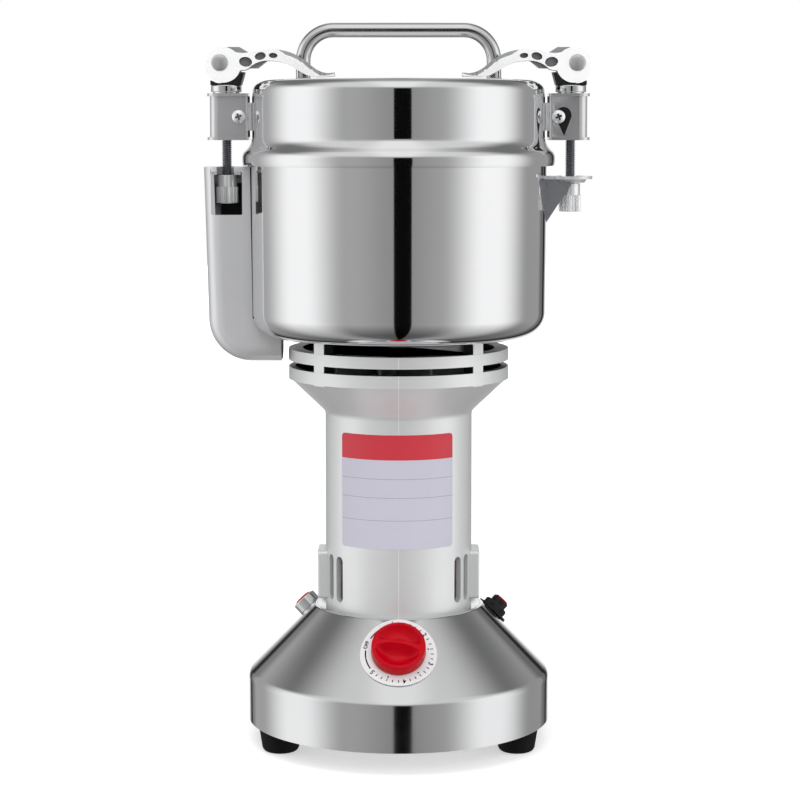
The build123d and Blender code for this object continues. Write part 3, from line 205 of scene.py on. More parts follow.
@dataclass(frozen=True)
class Finish:
    """One finish of the mill, from its base colour, the marks that its making leaves, and painted highlight
    and shade laid over them.

    Real tool marks and pits are a tenth of a millimetre and less, too fine to show: they are drawn two to ten
    times as coarse, as they need to be.
    """

    name: str
    colour: str
    second: str  # the colour that it drifts to
    roughness: float
    metallic: float = 0.0
    drift_mm: float = 6.0  # size of the slow drift of colour and gloss
    drift: float = 0.5  # share of the second colour where it is strongest
    gloss_drift: float = 0.05
    grain: Grain = Grain.CAST
    grain_mm: float = 0.3
    relief_mm: float = 0.0  # depth of the grain
    tint: float = 0.06  # how much darker the hollows of the grain are
    specular: float = 0.5
    seam: bool = False  # whether a painted highlight runs along the parting line where the two halves of the mould met
    seam_mm: tuple[float, float] = (0.12, 0.3)  # half width of the painted highlight, solid and faded out
    seam_strength: float = 0.8
    # painted shade laid over the piece, or none
    hollow: Hollow | None = None
    flank_mm: float = 0.0  # half width within which painted shade is laid, beyond which the piece keeps its own pale colour, or nought
    flank_edge_mm: float = 0.2
    inner: str = "#8c8d90"  # the painted shade between the pale sides: on top faces and in the pockets

    def build(self) -> bpy.types.Material:
        """Makes the node material.

        Returns:
            The material, ready to be put in a slot.
        """
        made = bpy.data.materials.new(self.name)
        made.use_nodes = True
        tree = made.node_tree
        shader = tree.nodes["Principled BSDF"].inputs
        place = add_node(tree, "TexCoord").outputs["Object"]
        cloud = add_node(tree, "TexNoise", {"Vector": place, "Scale": 1 / (self.drift_mm * MM),
                                            **CLOUD}).outputs["Fac"]
        spread = add_node(tree, "MapRange", {"Value": cloud, **NOISE_RANGE, "To Max": self.drift}).outputs[0]
        colour = add_node(tree, "Mix", {0: spread, 6: linear(self.colour), 7: linear(self.second)},
                          data_type="RGBA").outputs[2]
        gloss = add_node(tree, "MapRange", {
            "Value": cloud, **NOISE_RANGE, "To Min": max(self.roughness - self.gloss_drift, LOWEST_ROUGHNESS),
            "To Max": self.roughness + self.gloss_drift}).outputs[0]
        marks = self.marks(tree, place)
        if self.relief_mm > 0:
            bump = add_node(tree, "Bump", {"Strength": 1.0, "Distance": self.relief_mm * MM, "Height": marks})
            tree.links.new(bump.outputs[0], shader["Normal"])
        shade = add_node(tree, "MapRange", {"Value": marks, **NOISE_RANGE, "To Min": 1.0 - self.tint,
                                            "To Max": 1.0}).outputs[0]
        colour = add_node(tree, "Mix", {0: 1.0, 6: colour, 7: shade}, data_type="RGBA",
                          blend_type="MULTIPLY").outputs[2]
        for mask, over in self.layers(tree, place):
            colour = add_node(tree, "Mix", {0: mask, 6: colour, 7: linear(over)}, data_type="RGBA").outputs[2]
        tree.links.new(colour, shader["Base Color"])
        tree.links.new(gloss, shader["Roughness"])
        shader["Metallic"].default_value = self.metallic
        if self.metallic < 0.5:
            shader["Specular IOR Level"].default_value = self.specular
        return made

    def marks(self, tree: Tree, place: Socket) -> Socket:
        """Adds the texture of the tool marks.

        Args:
            tree: the material's node tree.
            place: the object coordinates.

        Returns:
            The height of the marks.
        """
        if self.grain is Grain.TURNED:
            radius, height = polar(tree, place)
            place = add_node(tree, "CombineXYZ", {0: radius, 2: height}).outputs[0]
        elif self.grain is Grain.UPRIGHT:
            place = add_node(tree, "Mapping", {0: place, "Scale": DRAWN_OUT}).outputs[0]
        return add_node(tree, "TexNoise", {"Vector": place, "Scale": 1 / (self.grain_mm * MM),
                                           **PITS}).outputs["Fac"]

    def layers(self, tree: Tree, place: Socket) -> Iterator[tuple[Socket, str]]:
        """Finds where a painted highlight and painted shade are laid over the finish.

        Args:
            tree: the material's node tree.
            place: the object coordinates.

        Yields:
            A mask and the colour that lies where it is one, in the order in which they cover each other.
        """
        if self.seam:
            across = add_node(tree, "SeparateXYZ", {0: place}).outputs[0]
            solid, edge = self.seam_mm
            # painted highlight: the parting line is real, its white line is painted light
            yield close_to(tree, across, 0.0, solid * MM, edge * MM, self.seam_strength), "#ffffff"
        if self.hollow:
            # painted shade: dark where shade falls in a hollow or beside a gap
            yield self.hollow.mask(tree, place), self.hollow.colour
        # painted shade between the pale sides of a lever
        if self.flank_mm > 0:
            deep = add_node(tree, "SeparateXYZ", {0: place}).outputs[1]
            solid = self.flank_mm - self.flank_edge_mm
            yield close_to(tree, deep, 0.0, solid * MM, self.flank_mm * MM), self.inner


@dataclass(frozen=True)
class LabelFinish(Finish):
    """Printed film: a coloured head, a pale field, and hairlines that divide the bare field."""

    head: str = "#c9323f"
    head_low_mm: float = 150.6
    rule: str = "#8d8a99"
    rule_mm: tuple[float, float] = (0.06, 0.16)  # half width of a hairline, solid and faded out
    rules_mm: tuple[float, ...] = (141.0, 131.5, 120.0)  # their heights

    def layers(self, tree: Tree, place: Socket) -> Iterator[tuple[Socket, str]]:
        """Finds the hairlines and the head of the print.

        Args:
            tree: the material's node tree.
            place: the object coordinates.

        Yields:
            A mask and the colour that is printed where it is one.
        """
        height = add_node(tree, "SeparateXYZ", {0: place}).outputs[2]
        solid, edge = self.rule_mm
        for rule in self.rules_mm:
            yield close_to(tree, height, rule * MM, solid * MM, edge * MM), self.rule
        head = add_node(tree, "Math", {0: height, 1: self.head_low_mm * MM}, operation="GREATER_THAN")
        yield head.outputs[0], self.head


class Finishes(Enum):
    """Every finish of the mill."""

    # Stainless sheet, spun and buffed: a near mirror with barely a trace of rings from the wheel.
    MIRROR_STEEL = Finish("buffed_stainless_steel", "#e4e4e5", "#dfe0e1", roughness=0.05, metallic=1.0,
                          drift_mm=60.0, gloss_drift=0.015, grain=Grain.TURNED, grain_mm=0.9,
                          relief_mm=0.0002, tint=0.01)
    # Stainless tube of the handle, belted after bending: its reflections are drawn out soft.
    TUBE_STEEL = Finish("belted_stainless_tube", "#dededf", "#d6d7d9", roughness=0.17, metallic=1.0,
                        drift_mm=20.0, gloss_drift=0.03, grain_mm=0.4, relief_mm=0.0006, tint=0.03)
    # The same sheet on the base, linished after spinning: softer reflections.
    SATIN_STEEL = Finish("linished_stainless_steel", "#dcdcdd", "#d5d6d7", roughness=0.1, metallic=1.0,
                         drift_mm=50.0, drift=0.6, gloss_drift=0.03, grain=Grain.TURNED, grain_mm=0.6,
                         relief_mm=0.0008, tint=0.02)
    # Folded stainless plate with a drawn finish: even, with soft lights along its bends.
    PLATE_STEEL = Finish("drawn_stainless_plate", "#dedee0", "#d8d9da", roughness=0.28, metallic=0.5,
                         drift_mm=60.0, gloss_drift=0.02, grain=Grain.UPRIGHT, grain_mm=1.4, tint=0.03)
    # The same plate on the duct, with painted shade on its edge beside the bowl, where the gap lies in
    # shadow.
    DUCT_STEEL = Finish("drawn_duct_plate", "#dedee0", "#d8d9da", roughness=0.28, metallic=0.5,
                        drift_mm=60.0, gloss_drift=0.02, grain=Grain.UPRIGHT, grain_mm=1.4, tint=0.03,
                        hollow=Hollow(75.0, 219.5, draw=0.012))
    # Die cast levers: pale sides, with painted shade between them on the top faces and in the pockets.
    LEVER_CAST = Finish("polished_lever_casting", "#f7f7f7", "#efeff0", roughness=0.3, drift_mm=9.0,
                        drift=0.6, gloss_drift=0.04, grain_mm=0.9, relief_mm=0.002, tint=0.02,
                        flank_mm=6.95)
    # Turned pins with domed ends: soft grey lights.
    PIN_STEEL = Finish("domed_steel_pin", "#c8c9cb", "#bcbdc0", roughness=0.3, metallic=0.7,
                       gloss_drift=0.03, grain_mm=0.4, relief_mm=0.0005, tint=0.03)
    # Folded blocks of the same plate, buffed: bright lights run down their round edges.
    BLOCK_STEEL = Finish("buffed_stainless_plate", "#dcdcde", "#d4d4d6", roughness=0.18, metallic=0.75,
                         drift_mm=25.0, drift=0.6, gloss_drift=0.03, grain=Grain.UPRIGHT, grain_mm=0.5,
                         relief_mm=0.0004, tint=0.02)
    # Aluminium casting with a silver lacquer: pale, even and silky, with painted shade inside its ring, under
    # the bowl.
    SILVER_LACQUER = Finish("silver_lacquered_casting", "#ebecec", "#e3e4e5", roughness=0.42, metallic=0.5,
                            drift_mm=40.0, gloss_drift=0.03, grain_mm=0.35, relief_mm=0.002, seam=True,
                            hollow=Hollow(55.7, 189.2))
    # Turned steel of nuts, screws and collars, bright plated.
    BRIGHT_PLATE = Finish("bright_plated_steel", "#f4f4f5", "#e9eaeb", roughness=0.2, metallic=0.65,
                          drift=0.6, gloss_drift=0.04, relief_mm=0.0008, tint=0.03)
    # Zinc plated steel of spindles and nuts: a cool grey.
    ZINC = Finish("zinc_plated_steel", "#b9bbbf", "#9da0a5", roughness=0.24, metallic=1.0, drift=0.7,
                  relief_mm=0.001)
    # Rolled rod, oiled: the oil holds dust in the grooves and darkens it.
    THREAD_STEEL = Finish("oiled_rolled_thread", "#8b8d91", "#7a7c81", roughness=0.28, metallic=0.85,
                          drift=0.7, relief_mm=0.001)
    # Cheeks of the hook lug: a darker grey, and duller than its other faces.
    RAW_PLATE = Finish("raw_rolled_plate", "#8a8b8f", "#7c7d81", roughness=0.34, metallic=0.5,
                       drift_mm=10.0, drift=0.6, grain_mm=0.5, relief_mm=0.001)
    # Hardened blade steel, ground.
    BLADE = Finish("ground_blade_steel", "#c8c9cc", "#b4b6ba", roughness=0.22, metallic=1.0, drift_mm=20.0,
                   drift=0.6, gloss_drift=0.04, grain_mm=0.25, relief_mm=0.001)
    # Nitrile rubber, moulded: dull black with a dusty bloom.
    RUBBER = Finish("black_nitrile_rubber", "#0e0e0f", "#171719", roughness=0.7, drift_mm=8.0, drift=0.7,
                    gloss_drift=0.06, grain_mm=0.25, relief_mm=0.004, specular=0.2)
    # Silicone rubber, moulded white: milky and soft.
    SEAL = Finish("white_silicone_rubber", "#d9d8d2", "#cfcdc5", roughness=0.5, drift_mm=12.0, grain_mm=0.4,
                  relief_mm=0.002)
    # Glass filled nylon, moulded black: a soft sheen.
    NYLON = Finish("black_glass_filled_nylon", "#131315", "#1b1b1d", roughness=0.42, drift_mm=10.0,
                   drift=0.6, relief_mm=0.003, specular=0.35)
    # ABS of the fan, moulded grey: a soft sheen.
    GREY_ABS = Finish("grey_moulded_abs", "#8b8c8f", "#7f8083", roughness=0.4, drift_mm=12.0,
                      relief_mm=0.002)
    # Red ABS of the knob: deep red with a soft gloss.
    RED_ABS = Finish("red_moulded_abs", "#bd0018", "#b00012", roughness=0.36, drift_mm=14.0,
                     gloss_drift=0.04, grain_mm=0.4, relief_mm=0.0006, specular=0.14)
    # Aluminium dial plate with a pearl print.
    DIAL = Finish("printed_aluminium_plate", "#e0e0e1", "#d9d9db", roughness=0.42, drift_mm=20.0,
                  gloss_drift=0.03, grain=Grain.TURNED, grain_mm=0.4, relief_mm=0.0003, tint=0.02)
    # Screen printed ink: black, with no gloss of its own.
    INK = Finish("dial_printing_ink", "#0c0c0e", "#141416", roughness=0.6, drift_mm=4.0, grain_mm=0.2,
                 relief_mm=0.0005, specular=0.2)
    # Polyester film, printed on its back: pale, with a satin face.
    FILM = LabelFinish("printed_label_film", "#cbc8d6", "#c3c0cf", roughness=0.4, drift_mm=30.0,
                       gloss_drift=0.04, grain_mm=0.5, relief_mm=0.0005)
    # Stacked iron sheets, turned after stacking: dark grey rings.
    IRON = Finish("laminated_motor_iron", "#6d6e72", "#55565a", roughness=0.42, metallic=1.0, drift=0.7,
                  gloss_drift=0.06, grain=Grain.TURNED, grain_mm=0.5, relief_mm=0.004)
    # Enamelled wire, wound: warm and glossy, with the ridges of its turns.
    COPPER = Finish("enamelled_copper_wire", "#b5612c", "#8e4319", roughness=0.3, metallic=0.9,
                    drift_mm=3.0, drift=0.7, gloss_drift=0.06, grain=Grain.TURNED, grain_mm=0.9,
                    relief_mm=0.02)
    # Brass, turned: yellow, with clean lights.
    BRASS = Finish("machined_brass", "#c9a45a", "#b48d42", roughness=0.26, metallic=1.0, drift=0.6,
                   relief_mm=0.001)
    # Carbon, pressed: near black and dull.
    CARBON = Finish("pressed_carbon", "#26262a", "#34343a", roughness=0.55, metallic=0.2, drift_mm=3.0,
                    drift=0.6, grain_mm=0.2, relief_mm=0.003)

    def material(self) -> bpy.types.Material:
        """The finish's material, built the first time that it is asked for."""
        return bpy.data.materials.get(self.value.name) or self.value.build()


# ---------------------------------------------------------------- the workbench


def vector(*values: float) -> Vector:
    """A point or a step given in millimetres."""
    return Vector(values) * MM


def only(piece: Piece, *others: Piece) -> None:
    """Selects some objects and no others, and makes the first one active.

    Args:
        piece: the object to make active.
        others: what is selected with it.
    """
    if bpy.context.object and bpy.context.object.mode != "OBJECT":
        bpy.ops.object.mode_set(mode="OBJECT")
    bpy.ops.object.select_all(action="DESELECT")
    for chosen in (piece, *others):
        chosen.select_set(True)
    bpy.context.view_layer.objects.active = piece


def started(name: str) -> Piece:
    """Names the primitive that was just added and opens it with nothing selected.

    Args:
        name: its name.

    Returns:
        The primitive, in edit mode.
    """
    piece = bpy.context.object
    piece.name = piece.data.name = name
    bpy.ops.object.transform_apply(location=True, rotation=True, scale=True)
    bpy.ops.object.mode_set(mode="EDIT")
    bpy.ops.mesh.select_mode(type="VERT")
    bpy.ops.mesh.select_all(action="DESELECT")
    return piece


def chained(name: str, points: list[Vector]) -> Piece:
    """Starts a piece as one vertex, extruded from point to point into a chain of edges.

    Args:
        name: the new object's name.
        points: the points of the chain.

    Returns:
        The new object, open and with all of it selected.
    """
    bpy.ops.mesh.primitive_plane_add(size=MM)
    piece = started(name)
    bpy.ops.mesh.select_all(action="SELECT")
    bpy.ops.mesh.merge(type="CENTER")
    bpy.ops.mesh.select_all(action="SELECT")
    bpy.ops.transform.translate(value=points[0])
    for last, point in pairwise(points):
        bpy.ops.mesh.extrude_region_move(TRANSFORM_OT_translate={"value": point - last})
    bpy.ops.mesh.select_all(action="SELECT")
    return piece


def pick(piece: Piece, kind: str, test: Callable[[object], bool]) -> None:
    """Selects the elements of an open piece that pass a test, and nothing else.

    Args:
        piece: the object in edit mode.
        kind: verts, edges or faces.
        test: says whether an element is wanted.
    """
    bpy.ops.mesh.select_all(action="DESELECT")
    bpy.ops.mesh.select_mode(type=kind.removesuffix("s").upper())
    work = bmesh.from_edit_mesh(piece.data)
    for element in filter(test, getattr(work, kind)):
        element.select_set(True)
    work.select_flush_mode()
    bmesh.update_edit_mesh(piece.data)


def tidy() -> None:
    """Merges the doubles of the open piece, turns its faces outwards and closes it."""
    bpy.ops.mesh.select_all(action="SELECT")
    bpy.ops.mesh.remove_doubles(threshold=MERGE)
    bpy.ops.mesh.normals_make_consistent(inside=False)
    bpy.ops.object.mode_set(mode="OBJECT")


def face_up(piece: Piece) -> None:
    """Turns a flat print over if it lies face down."""
    if piece.data.polygons[0].normal.z < 0:
        piece.data.flip_normals()


def modify(piece: Piece, kind: str, **settings: object) -> None:
    """Adds a modifier to a piece and applies it.

    Args:
        piece: the object.
        kind: Blender's name of the modifier.
        settings: the modifier's properties.
    """
    only(piece)
    made = piece.modifiers.new(kind.title(), kind)
    for name, value in settings.items():
        setattr(made, name, value)
    bpy.ops.object.modifier_apply(modifier=made.name)


def soften(piece: Piece, width: float, angle: float) -> None:
    """Bevels the sharp edges of a piece.

    Args:
        piece: the object.
        width: width of the bevel in millimetres.
        angle: the angle in degrees from which an edge is sharp.
    """
    modify(piece, "BEVEL", width=width * MM, segments=2, limit_method="ANGLE",
           angle_limit=math.radians(angle), miter_outer="MITER_ARC")


def shade(piece: Piece, angle: float, weighted: bool = False) -> None:
    """Shades a piece smooth.

    Args:
        piece: the object.
        angle: the angle in degrees under which an edge is smooth.
        weighted: whether large faces keep their own direction beside small bevels.
    """
    only(piece)
    bpy.ops.object.shade_smooth_by_angle(angle=math.radians(angle))
    if weighted:
        modify(piece, "WEIGHTED_NORMAL", mode="FACE_AREA", weight=50, keep_sharp=True)


def cut(piece: Piece, cutter: Piece) -> None:
    """Cuts a piece with another one, which is then thrown away."""
    modify(piece, "BOOLEAN", object=cutter, operation="DIFFERENCE", solver="EXACT")
    bpy.data.objects.remove(cutter)


def box_cutter(size: Point, place: Point, turn: float = 0.0) -> Piece:
    """Makes a box to cut with.

    Args:
        size: its width, depth and height in millimetres.
        place: its middle, in millimetres.
        turn: its turn about Z in degrees.

    Returns:
        The new object.
    """
    bpy.ops.mesh.primitive_cube_add(size=1.0, location=vector(*place))
    cutter = bpy.context.object
    cutter.scale = vector(*size)
    cutter.rotation_euler.z = math.radians(turn)
    bpy.ops.object.transform_apply(location=True, rotation=True, scale=True)
    return cutter


def joined(pieces: list[Piece], name: str) -> Piece:
    """Joins pieces into the first of them.

    Args:
        pieces: the objects.
        name: the name that the first one gets.

    Returns:
        The first one.
    """
    only(*pieces)
    bpy.ops.object.join()
    pieces[0].name = pieces[0].data.name = name
    return pieces[0]


def rounded(points: Profile, arc_steps: int = 8) -> list[tuple[float, float]]:
    """Rounds the corners of an open profile.

    Args:
        points: radius, height and corner radius of each point, in millimetres.
        arc_steps: steps in each rounded corner.

    Returns:
        Radius and height of each point of the rounded profile.
    """
    out: list[tuple[float, float]] = []
    for i, (r, z, fillet) in enumerate(points):
        if fillet <= 0 or i in (0, len(points) - 1):
            out.append((r, z))
            continue
        here = Vector((r, z))
        back = (Vector(points[i - 1][:2]) - here).normalized()
        on = (Vector(points[i + 1][:2]) - here).normalized()
        half = math.acos(max(-1.0, min(1.0, back.dot(on)))) / 2
        centre = here + (back + on).normalized() * (fillet / math.sin(half))
        start = here + back * (fillet / math.tan(half)) - centre
        end = here + on * (fillet / math.tan(half)) - centre
        sweep = start.angle_signed(end)
        for step in range(arc_steps + 1):
            turned = start.copy()
            turned.rotate(Matrix.Rotation(-sweep * step / arc_steps, 2))
            out.append(tuple(centre + turned))
    return out


def spun(name: str, profile: list[tuple[float, float]], steps: int, wall: float = 0.0, smooth: float = SHARP,
         centre: Point = (0.0, 0.0, 0.0)) -> Piece:
    """Turns a piece on a lathe: a chain of edges is spun round an upright axis.

    Args:
        name: the new object's name.
        profile: radius and height of each point, in millimetres, from the lower outside round.
        steps: steps in a full turn.
        wall: thickness of the sheet in millimetres, or nought for a closed profile.
        smooth: the angle in degrees under which an edge is shaded smooth.
        centre: where the axis stands, in millimetres.

    Returns:
        The new object.
    """
    middle = vector(*centre)
    piece = chained(name, [middle + vector(r, 0, z) for r, z in profile])
    bpy.ops.mesh.spin(steps=steps, angle=TURN, center=middle, axis=UP)
    tidy()
    if wall > 0:
        modify(piece, "SOLIDIFY", thickness=wall * MM, offset=-1.0, use_even_offset=True)
    shade(piece, smooth)
    return piece


def stand_on(piece: Piece, place: Matrix) -> None:
    """Moves a piece that was made at the origin to its place on the mill, and applies the move.

    Args:
        piece: the object.
        place: where its origin and axes go, in metres.
    """
    only(piece)
    piece.matrix_world = place
    bpy.ops.object.transform_apply(location=True, rotation=True, scale=True)


def refined(node: str, edge_mm: float = 0.0) -> Piece:
    """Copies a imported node, merges its loose triangles and shades it for close views.

    Args:
        node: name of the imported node.
        edge_mm: width of the small bevel on its sharp edges, or nought for none.

    Returns:
        The new object.
    """
    piece = bpy.data.objects.new(f"{node}_dressed", frame["nodes"][node].data.copy())
    bpy.context.scene.collection.objects.link(piece)
    only(piece)
    piece.data.materials.clear()
    bpy.ops.object.mode_set(mode="EDIT")
    bpy.ops.mesh.customdata_custom_splitnormals_clear()
    bpy.ops.mesh.select_all(action="SELECT")
    bpy.ops.mesh.remove_doubles(threshold=MERGE)
    bpy.ops.mesh.dissolve_limited(angle_limit=FLAT)
    bpy.ops.object.mode_set(mode="OBJECT")
    if edge_mm > 0:
        soften(piece, edge_mm, SHARP)
    shade(piece, SMOOTH, weighted=True)
    return piece


def body_of(node: str) -> str:
    """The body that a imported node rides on."""
    return frame["nodes"][node]["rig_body"]


def slot_of(node: str) -> str:
    """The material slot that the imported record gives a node."""
    return next(entry["material_slot"] for entry in frame["record"]["subparts"] if entry["node"] == node)


def dress(piece: Piece, finish: Finishes, body: str, slot: str, *stands_for: str) -> None:
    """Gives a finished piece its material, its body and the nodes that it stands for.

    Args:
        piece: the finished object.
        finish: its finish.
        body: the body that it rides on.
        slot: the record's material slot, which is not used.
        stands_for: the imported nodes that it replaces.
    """
    piece.data.materials.clear()
    piece.data.materials.append(finish.material())
    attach(piece, body)
    if stands_for:
        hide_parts(*stands_for)
    log.info("%s: %d faces, %s", piece.name, len(piece.data.polygons), finish.value.name)


def stand_in(piece: Piece, finish: Finishes, node: str) -> None:
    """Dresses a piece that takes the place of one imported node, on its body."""
    dress(piece, finish, body_of(node), slot_of(node), node)


def dress_faces(piece: Piece, finish: Finishes, test: Callable[[Vector, Vector], bool]) -> None:
    """Gives some faces of a dressed piece a second finish.

    Args:
        piece: the dressed object.
        finish: the second finish.
        test: says whether a face is wanted, from its centre in millimetres and its normal.
    """
    piece.data.materials.append(finish.material())
    for face in piece.data.polygons:
        if test(face.center / MM, face.normal):
            face.material_index = 1


@dataclass
class SubAssembly:
    """A group of pieces of the mill."""

    @staticmethod
    def refine(finish: Finishes, *nodes: str, edge_mm: float = 0.0) -> None:
        """Replaces nodes whose shape is right by their refined copies.

        Args:
            finish: their finish.
            nodes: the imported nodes.
            edge_mm: width of the bevel on sharp edges.
        """
        for node in nodes:
            stand_in(refined(node, edge_mm), finish, node)

    @staticmethod
    def keep(finish: Finishes, *nodes: str) -> None:
        """Gives nodes that stay as they are their finish.

        Args:
            finish: their finish.
            nodes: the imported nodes.
        """
        for node in nodes:
            shown = frame["nodes"][node].data.materials
            shown.clear()
            shown.append(finish.material())
            log.info("%s kept, %s", node, finish.value.name)


# ---------------------------------------------------------------- the base


def cone_out() -> tuple[float, float]:
    """Finds the direction that the cone of the base faces.

    Returns:
        Its share away from the axis and its share upwards.
    """
    run = BaseUnit.base_r - BaseUnit.cone_top_r
    rise = BaseUnit.cone_top_z - BaseUnit.skirt_top_z
    return rise / math.hypot(run, rise), run / math.hypot(run, rise)


def cone_plane(height: float, azimuth: float, lift: float = 0.0, turn: float = 0.0) -> Matrix:
    """Plane on the cone of the base, local Z outwards and local Y up the slope.

    Args:
        height: height of its middle in millimetres.
        azimuth: direction from the axis in degrees, from +X towards +Y.
        lift: how far it stands off the cone in millimetres.
        turn: turn about its own Z in degrees.

    Returns:
        The plane's matrix, in metres.
    """
    aside, up = cone_out()
    r = BaseUnit.base_r - (height - BaseUnit.skirt_top_z) * up / aside
    a = math.radians(azimuth)
    out = Vector((aside * math.cos(a), aside * math.sin(a), up))
    across = Vector((-math.sin(a), math.cos(a), 0))
    axes = Matrix((across, out.cross(across), out)).transposed().to_4x4()
    place = Matrix.Translation(vector(r * math.cos(a), r * math.sin(a), height) + out * lift * MM)
    return place @ axes @ Matrix.Rotation(math.radians(turn), 4, "Z")


@dataclass
class BaseUnit(SubAssembly):
    """The spun steel base on its four rubber feet."""

    base_r: float = 77.5
    foot_h: float = 12.0
    skirt_top_z: float = 36.3
    fold: float = 6.0  # radius of the bend between the skirt and the cone
    cone_top_r: float = 42.5
    cone_top_z: float = 72.0
    lip_bend: float = 2.2
    lip_r: float = 38.6
    seat_r: float = 24.0
    seat_z: float = 69.5
    sheet: float = 1.0
    foot_r: float = 9.0
    foot_top_r: float = 10.9
    screw_well: Point = (4.5, 6.0, 0.5)  # its radius and depth, and the round of its mouth
    feet: tuple[tuple[float, float], ...] = ((-60, -27), (-60, 27), (60, -27), (60, 27))
    inlet_at: Point = (0.0, 69.4, 23.55)
    inlet_hole: Point = (27.3, 40.0, 19.9)

    def build(self) -> None:
        """Builds the shell and the feet, and dresses what lies under them."""
        self.shell()
        self.rubber_feet()
        self.refine(Finishes.SATIN_STEEL, "base_plate")
        self.refine(Finishes.ZINC, "foot_screws", edge_mm=0.3)

    def shell(self) -> None:
        """Spins the skirt, the cone and the rolled lip from one sheet, and cuts the hole for the inlet."""
        line = rounded([(self.base_r, self.foot_h, 0), (self.base_r, self.skirt_top_z, self.fold),
                        (self.cone_top_r, self.cone_top_z, self.lip_bend), (self.lip_r, self.seat_z, 0),
                        (self.seat_r, self.seat_z, 0)])
        piece = spun("base_shell_spun", line, steps=256, wall=self.sheet)
        cut(piece, box_cutter(self.inlet_hole, self.inlet_at))
        shade(piece, SMOOTH)
        stand_in(piece, Finishes.SATIN_STEEL, "base_shell")

    def rubber_feet(self) -> None:
        """Turns a foot with its screw well at each of the four corners."""
        well_r, well_z, mouth = self.screw_well
        line = rounded([(0, well_z, 0), (well_r, well_z, 0), (well_r, 0.0, mouth), (self.foot_r, 0.0, 3.0),
                        (self.foot_top_r, self.foot_h, 0.6), (0, self.foot_h, 0)], 6)
        feet = [spun("rubber_foot", line, steps=48, centre=(x, y, 0)) for x, y in self.feet]
        stand_in(joined(feet, "rubber_feet_turned"), Finishes.RUBBER, "rubber_feet")


# ---------------------------------------------------------------- controls on the cone


